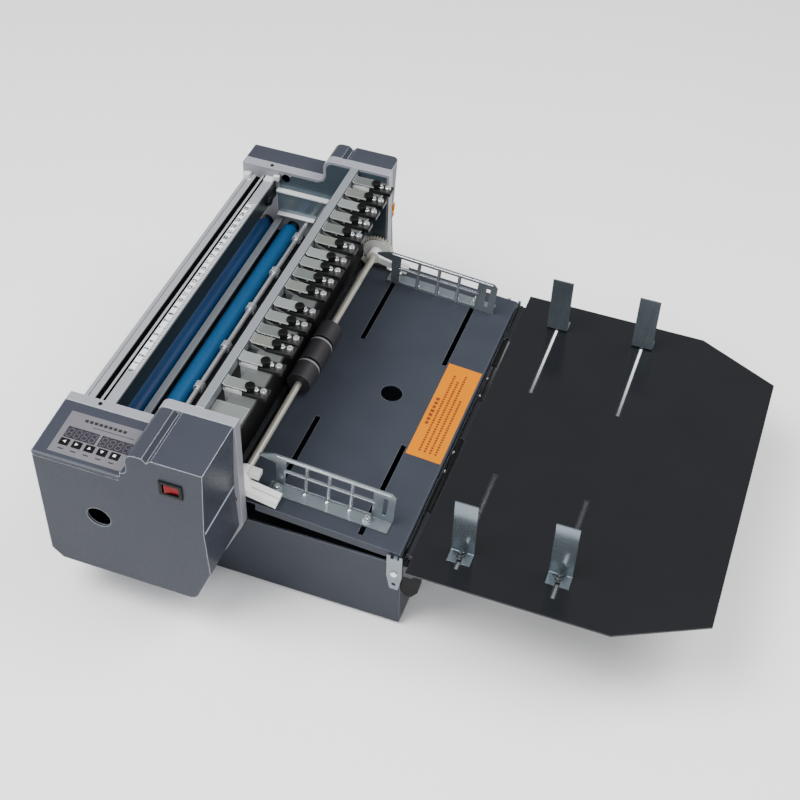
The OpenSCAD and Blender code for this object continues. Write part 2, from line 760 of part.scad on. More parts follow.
module feed_rollers() {
    l = seg_l[0] + seg_l[1] + seg_l[2] + 2 * seg_gap;
    y0 = seg_y - l / 2;
    color([0.22, 0.21, 0.22]) difference() {
        union() {
            y_rod(feed_x, feed_z, feed_r - 3, y0, y0 + l);
            for (i = [0:2]) {
                a = y0 + sum_to(seg_l, i) + i * seg_gap;
                y_rod(feed_x, feed_z, feed_r, a, a + seg_l[i]);
            }
        }
        y_rod(feed_x, feed_z, feed_shaft_r, y0 - 1, y0 + l + 1);
    }
}

module feed_table() {
    u0 = table_end - table_l;
    y0 = y_ni + table_edge;
    y1 = y_fi - table_edge;
    w = table_rise;
    color([0.27, 0.29, 0.32]) on_table() difference() {
        union() {
            translate([u0, y0, w - table_t]) cube([table_l - 2, y1 - y0, table_t]);
            // Rounded edge towards the tray
            y_prism(y0, y1, concat(arc(table_end - 2.5, w - 2.5, 2.5, 90, 0, 5),
                [[table_end, w - 6], [table_end - table_t, w - 6], [table_end - table_t, w - table_t],
                [table_end - 4, w - table_t], [table_end - 4, w]]));
            // Lips along the two sides, with the ears that turn on the pivot pins
            for (y = [y0, y1 - table_t]) {
                translate([u0 + 20, y, w - table_lip]) cube([table_l - 30, table_t, table_lip]);
                y_prism(y, y + table_t, concat([[-10, w], [-10, w - table_lip]],
                    arc(0, 0, 4.2, 230, 360, 6), [[table_end - 0.1, w - 2]]));
            }
        }
        translate([u0 - 1, y1 - gear_notch[1], w - 15]) cube([gear_notch[0] + 1, gear_notch[1] + 1, 20]);
        translate([sensor_u, y_mid, w - 10]) cylinder(r = sensor_r, h = 20);
        y_rod(0, 0, pivot_r + run, y0 - 1, y1 + 1);
        both_sides() for (u = slot_u) translate([u - table_slot_w / 2, y_mid - slot_out, w - 10])
            cube([table_slot_w, slot_out - slot_in, 20]);
    }
}

// Clamp screw through a slotted sheet: head above, nut below
module clamp(r, grip, head_h, nut_h, head_r) {
    translate([0, 0, -grip - nut_h]) cylinder(r = r, h = grip + nut_h + head_h);
    cylinder(r = head_r, h = head_h);
    translate([0, 0, -grip - nut_h]) cylinder(r = head_r, h = nut_h, $fn = 6);
}

// Side guide on the near side, in the table's frame
module guide_body() {
    u0 = slot_u[0] - 21;
    u1 = u0 + 129;
    y = y_mid - guide_gap / 2;
    w = table_rise + slip;
    nose = 26;
    end_l = 17;
    win_l = (u1 - end_l - u0 - nose) / windows;
    bar = 3.5;
    difference() {
        y_prism(y - guide_t, y, [[u0 + nose - 8, w], [u1, w], [u1, w + guide_h - 4], [u1 - 4, w + guide_h],
            [u0 + 14, w + guide_h], [u0, w + guide_h - 6], [u0, w + guide_h - 8],
            [u0 + nose - 10, w + guide_h - 11]]);
        for (i = [0:windows - 1]) {
            translate([u0 + nose + i * win_l, y - guide_t - eps, w + 0.58 * guide_h])
                cube([win_l - bar, guide_t + 2 * eps, 0.42 * guide_h - bar - 1]);
            translate([u0 + nose + i * win_l, y - guide_t - eps, w + bar])
                cube([win_l - bar, guide_t + 2 * eps, 0.58 * guide_h - 2 * bar]);
        }
        translate([u1 - 11, y - guide_t - eps, w + 8]) cube([4, guide_t + 2 * eps, guide_h - 16]);
    }
    difference() {
        translate([u0 + 33, y - guide_foot, w]) cube([95, guide_foot, guide_t]);
        translate([u0 + 52, y - guide_foot - eps, w - eps]) cube([15, guide_foot - 6, guide_t + 1]);
    }
    translate([slot_u[0] - 8, y - guide_foot, w]) cube([22, guide_foot, guide_t]);
    for (u = slot_u) translate([u, y - guide_foot / 2, w + guide_t])
        clamp(2, guide_t + table_t + 2 * slip, 4, 3, 3.6);
}

module near_guide() {
    color([0.67, 0.7, 0.72]) on_table() guide_body();
}

module far_guide() {
    color([0.67, 0.7, 0.72]) translate([0, y_mid, 0]) mirror([0, 1, 0]) translate([0, -y_mid, 0])
        on_table() guide_body();
}

module paper_tray() {
    z0 = tray_z - tray_t;
    y0 = y_mid - tray_w / 2;
    y1 = y_mid + tray_w / 2;
    gusset_x = x_box + slip;
    color([0.17, 0.17, 0.19]) {
        difference() {
            translate([0, 0, z0]) linear_extrude(tray_t) polygon([[x_tray, y0], [x_end - tray_cut_x, y0],
                [x_end, y0 + tray_cut_y], [x_end, y1 - tray_cut_y], [x_end - tray_cut_x, y1], [x_tray, y1]]);
            both_sides() for (x = stop_x) translate([x - tray_slot_w / 2, y_mid - tray_slot_out, z0 - 1])
                cube([tray_slot_w, tray_slot_out - tray_slot_in, tray_t + 2]);
        }
        // Turning knuckles of the hinge
        for (y = [y_mid - turn_y, y_mid, y_mid + turn_y]) difference() {
            union() {
                block(hinge_x, x_tray + 1, y - turn_l / 2, y + turn_l / 2, z0, tray_z);
                y_rod(hinge_x, hinge_z, knuckle_r, y - turn_l / 2, y + turn_l / 2);
            }
            y_rod(hinge_x, hinge_z, tray_pin_r + run, y - turn_l, y + turn_l);
        }
        // Gussets that rest against the feed box
        both_sides() y_prism(y_ni, y_ni + 9, [[gusset_x, z0 - 22], [gusset_x + 10, z0 - 22],
            [gusset_x + 18, z0 - 10], [gusset_x + 18, z0], [x_tray, z0], [x_tray, z0 - 8],
            [gusset_x, z0 - 8]]);
    }
}

// Paper stop: upright, foot on the outer side and clamp screw
module stop_body(x, d, side) {
    y = y_mid + side * d;
    z = tray_z + slip;
    out = side > 0 ? 0 : -stop_foot;
    color([0.67, 0.7, 0.72]) {
        translate([x - stop_w / 2, side > 0 ? y : y - stop_t, z]) cube([stop_w, stop_t, stop_h]);
        translate([x - stop_w / 2, y + out, z]) cube([stop_w, stop_foot, stop_t]);
        translate([x, y + side * stop_foot / 2, z + stop_t])
            clamp(1.7, stop_t + tray_t + 2 * slip, 5, 3, 4);
    }
}

module stop_near_in() {
    stop_body(stop_x[0], stop_in[0], -1);
}

module stop_near_out() {
    stop_body(stop_x[1], stop_in[1], -1);
}

module stop_far_in() {
    stop_body(stop_x[0], stop_in[2], 1);
}

module stop_far_out() {
    stop_body(stop_x[1], stop_in[3], 1);
}

// Push button: cap and plunger
module button(i) {
    color([0.05, 0.05, 0.05]) on_panel() translate([button_x + i * button_pitch, button_v, 0]) {
        translate([-button_w / 2, -button_d / 2, -3]) cube([button_w, button_d, 3 + button_up]);
        translate([0, 0, board_w0 + board_t + 5.2]) cylinder(r = 1.8, h = -board_w0 - board_t - 8.2);
    }
}

// Bush lever on the feed shaft, turning about it: hub, grooved arm
module lever(y0, y1, arm_y0, arm_w) {
    arm_l = 38;
    arm_a = 12;
    groove_w = 1.4;
    difference() {
        union() {
            y_rod(feed_x, feed_z, 7, y0, y1);
            translate([feed_x, arm_y0, feed_z]) rotate([0, arm_a, 0]) translate([0, 0, -5])
                cube([arm_l, arm_w, 7.5]);
        }
        translate([feed_x, arm_y0 + 0.4 * arm_w, feed_z]) rotate([0, arm_a, 0]) translate([11, 0, 0.8])
            cube([arm_l, groove_w, 4]);
        y_rod(feed_x, feed_z, feed_shaft_r + run, y0 - 1, y1 + 1);
    }
}

module near_lever() {
    color([0.92, 0.93, 0.92]) {
        lever(y_ni + slip, y_ni + 26, y_ni + 2, 13);
        // Finger tab
        translate([feed_x, y_ni + 16, feed_z]) rotate([0, 4, 0]) translate([4.5, 0, 2]) cube([10, 9, 6]);
    }
}

module far_lever() {
    color([0.92, 0.93, 0.92]) lever(far_gear_y0 - 10.5, far_gear_y0 - 0.5, far_gear_y0 - 9.5, 8);
}

// Knife holder: body on the bed, spring leaf, knob, two screws, stem and blade
module knife(i) {
    z0 = bed_z + slip;
    half = holder_w / 2;
    body_h = 4;
    arm_x1 = x_head + 8.5;
    knob_x = x_head - 8.5;
    stem_half = 4;
    fork_z = blade_z + blade_r + 1;
    fork_h = 3;
    pin_r = 1.5;
    leaf_z = z0 + body_h + 2;
    leaf_sheet = 1.2;
    spacer_x = stem_x0 + 7;
    spacer_w = 7;
    knob_r = 4.5;
    knob_h = 6;
    nut_x = x_head - 3;
    nut_r = 2.6;
    screw_x = x_head + 4;
    screw_r = 3.4;
    head_h = 4.5;
    translate([0, knife_y(i), 0]) color([0.66, 0.67, 0.68]) {
        block(stem_x0, arm_x1, -half, half, z0, z0 + body_h);
        block(stem_x0, stem_x1, -stem_half, stem_half, fork_z, z0 + 1);
        block(anvil_x - fork_h, stem_x1, -stem_half, -blade_t, blade_z - fork_h, fork_z + fork_h);
        // Leaf on the body
        block(stem_x0 - 0.5, knob_x - 1, -half, half, leaf_z, leaf_z + leaf_sheet);
        block(spacer_x, spacer_x + spacer_w, -half + 2, half - 2, z0 + body_h, leaf_z);
        // Knob and screws
        translate([knob_x, 0, z0 + body_h]) cylinder(r = knob_r, h = knob_h);
        translate([nut_x, 0, z0 + body_h]) cylinder(r = nut_r, h = head_h);
        translate([screw_x, 0, z0 + body_h]) cylinder(r = screw_r, h = head_h);
        // Blade on its pin
        y_rod(anvil_x, blade_z, pin_r, -blade_t - 0.5, blade_t / 2 + 0.6);
        difference() {
            y_rod(anvil_x, blade_z, blade_r, -blade_t / 2, blade_t / 2);
            y_rod(anvil_x, blade_z, pin_r + run, -blade_t, blade_t);
        }
    }
}

chassis();
near_side_plate();
far_side_plate();
near_cover();
far_cover();
rear_profile();
cross_bars();
knife_bed();
sheet_guides();
hinge_brackets();
motor();
control_board();
rocker_bezel();
bearings();
screws();
feet();
power_supply();
anvil_roller();
anvil_gears();
front_roller();
rear_roller();
collar_shaft();
motor_pinion();
transfer_gear();
idler_gear();
feed_shaft();
feed_rollers();
feed_table();
near_guide();
far_guide();
paper_tray();
stop_near_in();
stop_near_out();
stop_far_in();
stop_far_out();
button(0);  // button_1
button(1);  // button_2
button(2);  // button_3
button(3);  // button_4
button(4);  // button_5
rocker();
near_lever();
far_lever();
knife(0);  // knife_01
knife(1);  // knife_02
knife(2);  // knife_03
knife(3);  // knife_04
knife(4);  // knife_05
knife(5);  // knife_06
knife(6);  // knife_07
knife(7);  // knife_08
knife(8);  // knife_09
knife(9);  // knife_10
knife(10);  // knife_11
knife(11);  // knife_12
knife(12);  // knife_13
knife(13);  // knife_14
knife(14);  // knife_15
knife(15);  // knife_16
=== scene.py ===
import json
import math

import bmesh
import bpy
from mathutils import Matrix, Vector

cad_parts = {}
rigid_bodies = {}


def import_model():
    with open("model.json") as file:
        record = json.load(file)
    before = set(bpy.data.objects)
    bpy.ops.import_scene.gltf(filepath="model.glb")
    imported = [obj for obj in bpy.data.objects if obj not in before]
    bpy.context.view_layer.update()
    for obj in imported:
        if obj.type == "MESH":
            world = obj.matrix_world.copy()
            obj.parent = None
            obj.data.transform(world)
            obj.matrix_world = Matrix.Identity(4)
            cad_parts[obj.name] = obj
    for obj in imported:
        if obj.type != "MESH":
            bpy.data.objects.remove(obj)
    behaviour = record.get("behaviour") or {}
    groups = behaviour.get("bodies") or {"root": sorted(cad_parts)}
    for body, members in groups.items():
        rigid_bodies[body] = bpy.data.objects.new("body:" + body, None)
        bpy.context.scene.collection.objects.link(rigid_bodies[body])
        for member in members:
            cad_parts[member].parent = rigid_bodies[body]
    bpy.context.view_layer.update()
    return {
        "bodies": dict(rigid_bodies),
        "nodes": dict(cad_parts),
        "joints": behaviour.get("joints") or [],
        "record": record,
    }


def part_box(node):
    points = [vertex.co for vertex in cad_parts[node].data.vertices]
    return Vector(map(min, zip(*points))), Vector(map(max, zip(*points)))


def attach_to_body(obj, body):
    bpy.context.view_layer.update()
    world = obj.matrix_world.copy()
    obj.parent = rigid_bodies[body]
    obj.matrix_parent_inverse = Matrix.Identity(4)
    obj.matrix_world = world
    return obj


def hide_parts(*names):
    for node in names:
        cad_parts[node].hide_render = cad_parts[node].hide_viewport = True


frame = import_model()

MM = 0.001
nodes = frame["nodes"]
record = frame["record"]
body_of = {n: b for b, group in record["behaviour"]["bodies"].items() for n in group}
slot_of = {p["node"]: p["material_slot"] for p in record["subparts"]}


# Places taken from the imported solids, in millimetres
def low(node):
    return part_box(node)[0] / MM


def high(node):
    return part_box(node)[1] / MM


x_rear = low("near_side_plate").x
x_head = high("near_side_plate").x
y_front = low("near_cover").y
y_np = high("near_cover").y
y_ni = low("cross_bars").y
y_fi = high("cross_bars").y
y_back = high("far_cover").y
high_z = high("near_cover").z
y_mid = (y_ni + y_fi) / 2

# Sizes repeated from the part's source, in millimetres
low_z = 190.0
panel_drop = 5.0
panel_angle = math.atan(panel_drop / (y_np - y_front))
table_tilt = math.radians(4.53)
pivot = Vector((14.5, 0.0, 92.0))
table_rise = 6.2
tray_z = 96.0
tray_t = 1.6
box_front = 20.0
label_x = x_rear + 48.2
button_count = 5
button_pitch = 11.8
button_shift = 1.4
button_x = label_x - 2 * button_pitch - button_shift
button_v = 17.5
button_up = 1.2
display_v = 28.3
display_size = (29.6, 12.0)
display_x = (label_x - 14.4, label_x + 17.4)

PANEL = Matrix.Translation((0, y_front, low_z - panel_drop)) @ Matrix.Rotation(panel_angle, 4, "X")
TABLE = Matrix.Translation(pivot) @ Matrix.Rotation(table_tilt, 4, "Y")
# Turns that take a form's own Z to -Y, Y and X
ALONG_Y = Matrix.Rotation(math.radians(90), 4, "X")
TOWARDS_Y = Matrix.Rotation(math.radians(-90), 4, "X")
TOWARDS_X = Matrix.Rotation(math.radians(90), 4, "Y")


# Materials
# The hinge beyond the box's front is painted black as the shade in the gap between the feed table and the
# tray.
hinge_gap_shade = (12, 12, 13)
hinge_shade_from = (box_front + 0.3) * MM
relief_depth = 0.0003
smoothest = 0.02
wear_and_highlight_dim = 0.8
# Parts of a noise's or an edge test's range over which a colour or roughness changes
noise_span = (0.3, 0.7)
wear_and_highlight_span = (0.35, 0.65)
rim_span = (0.9, 0.995)
# Sockets of a colour mix node
MIX_FACTOR, MIX_UNDER, MIX_OVER, MIX_RESULT = 0, 6, 7, 2
WHITE = (1, 1, 1, 1)
BLACK = (0, 0, 0, 1)


def linear(rgb):
    """Colour of the screen, from 0 to 255, as linear light."""
    values = [c / 255 for c in rgb]
    return [c / 12.92 if c <= 0.04 else ((c + 0.055) / 1.055) ** 2.4 for c in values] + [1.0]


def surface(name, rgb, rough, metal=0.0, grain=1400.0, bump=0.08, mottle=0.1, stretch=(1, 1, 1),
            wear_and_highlight=None, coat=0.0, spread=0.06, patch=20.0, gloss=0.35, edge=0.0007, gap_shade_from=None):
    """Procedural material: broad colour mottle, fine grain in bump and roughness, lighter edges that are
    partly wear and partly a painted highlight.

    Where a start in X is given, what lies beyond that X is painted black: a painted shade for the gap at the
    hinge.
    """
    mat = bpy.data.materials.new(name)
    mat.use_nodes = True
    tree = mat.node_tree
    shader = tree.nodes["Principled BSDF"]

    def add(kind, **inputs):
        node = tree.nodes.new(kind)
        for key, value in inputs.items():
            node.inputs[key].default_value = value
        return node

    def ramp(source, at, colours):
        node = tree.nodes.new("ShaderNodeValToRGB")
        for element, place, colour in zip(node.color_ramp.elements, at, colours):
            element.position = place
            element.color = colour
        tree.links.new(source, node.inputs["Fac"])
        return node.outputs["Color"]

    def mix(factor, under):
        node = tree.nodes.new("ShaderNodeMix")
        node.data_type = "RGBA"
        tree.links.new(factor, node.inputs[MIX_FACTOR])
        tree.links.new(under, node.inputs[MIX_UNDER])
        return node

    place = add("ShaderNodeTexCoord")
    mapping = add("ShaderNodeMapping", Scale=stretch)
    tree.links.new(place.outputs["Object"], mapping.inputs["Vector"])
    broad = add("ShaderNodeTexNoise", Scale=patch, Detail=5.0)
    fine = add("ShaderNodeTexNoise", Scale=grain, Detail=3.0)
    tree.links.new(place.outputs["Object"], broad.inputs["Vector"])
    tree.links.new(mapping.outputs["Vector"], fine.inputs["Vector"])
    base = linear(rgb)
    dark = [c * (1 - mottle) for c in base[:3]] + [1.0]
    light = [min(1.0, c * (1 + mottle)) for c in base[:3]] + [1.0]
    colour = ramp(broad.outputs["Fac"], noise_span, (dark, light))
    # Lighter edges: partly wear, partly a painted highlight where light would catch a rounded edge.
    if wear_and_highlight:
        rim_wear_and_highlight = linear(wear_and_highlight)
        rim_wear_and_highlight_dark = [c * wear_and_highlight_dim for c in rim_wear_and_highlight[:3]] + [1.0]
        geometry = add("ShaderNodeNewGeometry")
        rounded = add("ShaderNodeBevel", Radius=edge)
        facing = tree.nodes.new("ShaderNodeVectorMath")
        facing.operation = "DOT_PRODUCT"
        tree.links.new(geometry.outputs["Normal"], facing.inputs[0])
        tree.links.new(rounded.outputs["Normal"], facing.inputs[1])
        wear_and_highlight_mask = ramp(facing.outputs["Value"], rim_span, (WHITE, BLACK))
        rim_wear_and_highlight_colour = ramp(fine.outputs["Fac"], wear_and_highlight_span, (rim_wear_and_highlight_dark, rim_wear_and_highlight))
        edges = mix(wear_and_highlight_mask, colour)
        tree.links.new(rim_wear_and_highlight_colour, edges.inputs[MIX_OVER])
        colour = edges.outputs[MIX_RESULT]
    # Painted shade: beyond the given X the colour turns black, standing for the shadow in the hinge gap.
    if gap_shade_from is not None:
        split = add("ShaderNodeSeparateXYZ")
        tree.links.new(place.outputs["Object"], split.inputs["Vector"])
        in_gap_shade = tree.nodes.new("ShaderNodeMath")
        in_gap_shade.operation = "GREATER_THAN"
        in_gap_shade.inputs[1].default_value = gap_shade_from
        tree.links.new(split.outputs["X"], in_gap_shade.inputs[0])
        gap_shade_mix = mix(in_gap_shade.outputs["Value"], colour)
        gap_shade_mix.inputs[MIX_OVER].default_value = linear(hinge_gap_shade)
        colour = gap_shade_mix.outputs[MIX_RESULT]
    tree.links.new(colour, shader.inputs["Base Color"])
    rough_range = add("ShaderNodeMapRange")
    rough_range.inputs["From Min"].default_value = noise_span[0]
    rough_range.inputs["From Max"].default_value = noise_span[1]
    rough_range.inputs["To Min"].default_value = max(smoothest, rough - spread)
    rough_range.inputs["To Max"].default_value = min(1.0, rough + spread)
    tree.links.new(fine.outputs["Fac"], rough_range.inputs["Value"])
    tree.links.new(rough_range.outputs["Result"], shader.inputs["Roughness"])
    relief = add("ShaderNodeBump", Strength=bump, Distance=relief_depth)
    tree.links.new(fine.outputs["Fac"], relief.inputs["Height"])
    tree.links.new(relief.outputs["Normal"], shader.inputs["Normal"])
    shader.inputs["Metallic"].default_value = metal
    shader.inputs["Coat Weight"].default_value = coat
    shader.inputs["Specular IOR Level"].default_value = gloss
    return mat


# Painted highlight: the cover paint's wide light edges stand for the light caught along its rounded edges.
cover_paint = surface("cover_paint", (52, 55, 63), 0.3, bump=0.03, mottle=0.05, wear_and_highlight=(176, 180, 188),
                      edge=0.0011, gloss=0.12)
# Light bead colour: a painted highlight along the near cover's crease.
crease_highlight_paint = surface("crease_highlight_paint", (150, 154, 162), 0.3, bump=0.03, mottle=0.05)
plate_paint = surface("plate_paint", (128, 129, 136), 0.36, bump=0.05, mottle=0.05, wear_and_highlight=(186, 187, 192))
# Darker, bluish copy of the plate colour: painted shade and a painted reflection of the blue rollers on the
# far plate's inner face, over a real gloss.
plate_inner_shaded = surface("plate_inner_shaded", (66, 78, 86), 0.3, metal=0.4, bump=0.04, mottle=0.08, patch=12.0)
# Beyond the box's front the box paint turns black, a painted shade for the gap at the hinge.
box_paint = surface("box_paint", (48, 52, 60), 0.36, bump=0.04, mottle=0.07, wear_and_highlight=(120, 124, 132),
                    gloss=0.15, gap_shade_from=hinge_shade_from)
table_paint = surface("table_paint", (46, 50, 58), 0.4, bump=0.05, mottle=0.07, wear_and_highlight=(104, 109, 118),
                      gloss=0.2)
tray_paint = surface("tray_paint", (17, 18, 21), 0.2, bump=0.01, mottle=0.08, wear_and_highlight=(66, 67, 72),
                     gloss=0.4, spread=0.03)
black_sheet = surface("black_sheet", (15, 15, 16), 0.4, bump=0.06, mottle=0.1, wear_and_highlight=(48, 48, 50))
# Near black: painted shade for the rear profile's slot and grooves and for a hole in the far plate.
slot_shade_black = surface("slot_shade_black", (3, 3, 4), 0.8, bump=0.1, mottle=0.2, gloss=0.02)
anodised = surface("anodised", (150, 152, 157), 0.34, metal=0.35, stretch=(8, 1, 8), grain=400.0,
                   bump=0.03, mottle=0.04, wear_and_highlight=(222, 223, 226))
pad_metal = surface("pad_metal", (104, 115, 121), 0.2, metal=0.55, bump=0.002, mottle=0.12, patch=30.0)
# Dark slate: painted shade on the rear profile's wall, tinted as a painted reflection of the blue rollers.
wall_shade_slate = surface("wall_shade_slate", (34, 42, 44), 0.34, metal=0.3, bump=0.04, mottle=0.12, patch=14.0)
bar_metal = surface("bar_metal", (128, 133, 138), 0.36, metal=0.4, stretch=(8, 1, 8), grain=400.0,
                    bump=0.03, mottle=0.04, wear_and_highlight=(200, 202, 205))
steel = surface("ground_steel", (196, 198, 202), 0.16, metal=0.8, stretch=(8, 1, 8), grain=500.0,
                bump=0.002, spread=0.03)
shaft_steel = surface("shaft_steel", (216, 212, 198), 0.24, metal=0.7, stretch=(6, 1, 6), grain=600.0,
                      bump=0.002, mottle=0.05, spread=0.03)
dark_steel = surface("dark_steel", (40, 41, 44), 0.22, metal=0.6, stretch=(8, 1, 8), grain=500.0,
                     bump=0.002, spread=0.03)
clamp_steel = surface("clamp_steel", (76, 80, 82), 0.24, metal=0.8, grain=900.0, bump=0.01, mottle=0.06,
                      spread=0.03)
bright_steel = surface("bright_steel", (228, 229, 230), 0.24, metal=0.95, grain=900.0, bump=0.002,
                       mottle=0.04, spread=0.03)
white_steel = surface("white_steel", (214, 216, 217), 0.34, metal=0.3, grain=900.0, bump=0.03, mottle=0.04)
bed_steel = surface("bed_steel", (92, 95, 94), 0.34, metal=0.4, grain=900.0, bump=0.03, mottle=0.1)
# A darker copy of the holders' steel: painted shade for the holders under their leaves' shadow.
holder_steel = surface("holder_steel", (112, 115, 114), 0.36, metal=0.35, grain=900.0, bump=0.03, mottle=0.08,
                       wear_and_highlight=(190, 192, 192))
leaf_tones = ((112, 117, 114), (92, 97, 95), (106, 108, 102), (124, 129, 128))
# The leaves' near-white edges are a painted highlight on their rims and tips; the four tones are dealt out in
# turn.
leaf_steels = [surface("leaf_steel_%d" % (n + 1), rgb, 0.42, metal=0.35, stretch=(4, 12, 4), grain=260.0,
                       bump=0.04, mottle=0.05, wear_and_highlight=(226, 228, 228)) for n, rgb in enumerate(leaf_tones)]
zinc = surface("zinc", (122, 131, 136), 0.18, metal=0.58, patch=25.0, mottle=0.14, grain=200.0,
               bump=0.0006, spread=0.02)
stop_zinc = surface("stop_zinc", (122, 133, 140), 0.16, metal=0.78, patch=25.0, mottle=0.14, grain=200.0,
                    bump=0.0006, spread=0.02)
bronze = surface("bronze", (84, 74, 58), 0.38, metal=0.9, bump=0.05)
motor_black = surface("motor_black", (30, 30, 32), 0.5, bump=0.12)
board_green = surface("board_green", (20, 58, 35), 0.45, bump=0.06)
black_plastic = surface("black_plastic", (10, 10, 11), 0.36, bump=0.08, wear_and_highlight=(34, 34, 36), gloss=0.1)
red_plastic = surface("red_plastic", (122, 10, 18), 0.25, bump=0.03, gloss=0.12)
white_plastic = surface("white_plastic", (228, 230, 226), 0.4, bump=0.04, mottle=0.03)
gear_plastic = surface("gear_plastic", (196, 192, 180), 0.45, bump=0.06)
rubber_black = surface("rubber_black", (18, 18, 19), 0.75, bump=0.2)
roller_rubber = surface("roller_rubber", (44, 43, 46), 0.5, stretch=(1, 6, 1), grain=500.0, bump=0.15,
                        mottle=0.12, wear_and_highlight=(120, 119, 122))
# Light grey: a painted highlight on the feed rollers' segment shoulders.
band_highlight_grey = surface("band_highlight_grey", (132, 132, 136), 0.35, bump=0.05, mottle=0.06)
blue_rubber = surface("blue_rubber", (8, 70, 112), 0.42, stretch=(1, 6, 1), grain=500.0, bump=0.08,
                      mottle=0.08)
# A darker copy of the blue rubber: painted shade for the rear roller, which sits in shadow.
shaded_blue_rubber = surface("shaded_blue_rubber", (4, 50, 92), 0.45, stretch=(1, 6, 1), grain=500.0, bump=0.08)
label_film = surface("label_film", (94, 92, 98), 0.36, bump=0.03, mottle=0.03)
display_glass = surface("display_glass", (38, 35, 42), 0.2, bump=0.01, mottle=0.1, coat=0.3)
segment_grey = surface("segment_grey", (72, 69, 77), 0.4, bump=0.02, mottle=0.05)
white_print = surface("white_print", (205, 205, 208), 0.5, bump=0.02, mottle=0.02)
dark_print = surface("dark_print", (12, 12, 14), 0.5, bump=0.02, mottle=0.06)
ruler_film = surface("ruler_film", (206, 208, 211), 0.36, bump=0.03, mottle=0.03)
orange_film = surface("orange_film", (190, 110, 0), 0.9, bump=0.04, mottle=0.05, gloss=0.0)
orange_print = surface("orange_print", (112, 40, 0), 0.6, bump=0.02, mottle=0.08)
red_print = surface("red_print", (132, 24, 20), 0.5, bump=0.02, mottle=0.08)
floor_paint = surface("floor_paint", (250, 250, 251), 0.6, bump=0.01, mottle=0.01, patch=2.0)


# Mesh building
smooth_angle = 35.0
flat_angle = 0.5
merge_distance = 2e-6
round_segments = 5


def settle(obj):
    """Turns the modifiers of obj into its mesh."""
    graph = bpy.context.evaluated_depsgraph_get()
    mesh = bpy.data.meshes.new_from_object(obj.evaluated_get(graph), preserve_all_data_layers=True,
                                           depsgraph=graph)
    old = obj.data
    obj.modifiers.clear()
    obj.data = mesh
    mesh.name = old.name
    bpy.data.meshes.remove(old)


def soften(obj, bevel, segments=2, angle=30.0):
    """Rounds the sharp edges and smooths what is left."""
    if bevel > 0:
        edges = obj.modifiers.new("edges", "BEVEL")
        edges.width = bevel * MM
        edges.segments = segments
        edges.limit_method = "ANGLE"
        edges.angle_limit = math.radians(angle)
        settle(obj)
    obj.data.polygons.foreach_set("use_smooth", [True] * len(obj.data.polygons))
    obj.data.set_sharp_from_angle(angle=math.radians(smooth_angle))
    weighted = obj.modifiers.new("normals", "WEIGHTED_NORMAL")
    weighted.keep_sharp = True
    settle(obj)


def attach(obj, material, body, node=None):
    obj.data.materials.clear()
    obj.data.materials.append(material)
    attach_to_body(obj, body)
    if node:
        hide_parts(node)
    return obj


def new_object(name, bm):
    mesh = bpy.data.meshes.new(name)
    bmesh.ops.recalc_face_normals(bm, faces=bm.faces)
    bm.to_mesh(mesh)
    bm.free()
    obj = bpy.data.objects.new(name, mesh)
    bpy.context.scene.collection.objects.link(obj)
    return obj


def dress(node, material, bevel=0.4, segments=2, angle=30.0, rounds=()):
    """Finer copy of a CAD node, with rounded edges.

    Each of the rounds is a test that picks edges, and the larger radius that they get.
    """
    bm = bmesh.new()
    bm.from_mesh(nodes[node].data)
    bmesh.ops.remove_doubles(bm, verts=bm.verts, dist=merge_distance)
    bmesh.ops.dissolve_limit(bm, angle_limit=math.radians(flat_angle), verts=bm.verts, edges=bm.edges)
    for picks, radius in rounds:
        sharp = [e for e in bm.edges if e.is_manifold and e.calc_face_angle() > math.radians(angle)]
        bmesh.ops.bevel(bm, geom=[e for e in sharp if picks(e)], offset=radius * MM, offset_type="OFFSET",
                        segments=round_segments, profile=0.5, affect="EDGES", clamp_overlap=True)
    obj = new_object(node + "_shape", bm)
    soften(obj, bevel, segments, angle)
    return attach(obj, material, body_of[node], node)


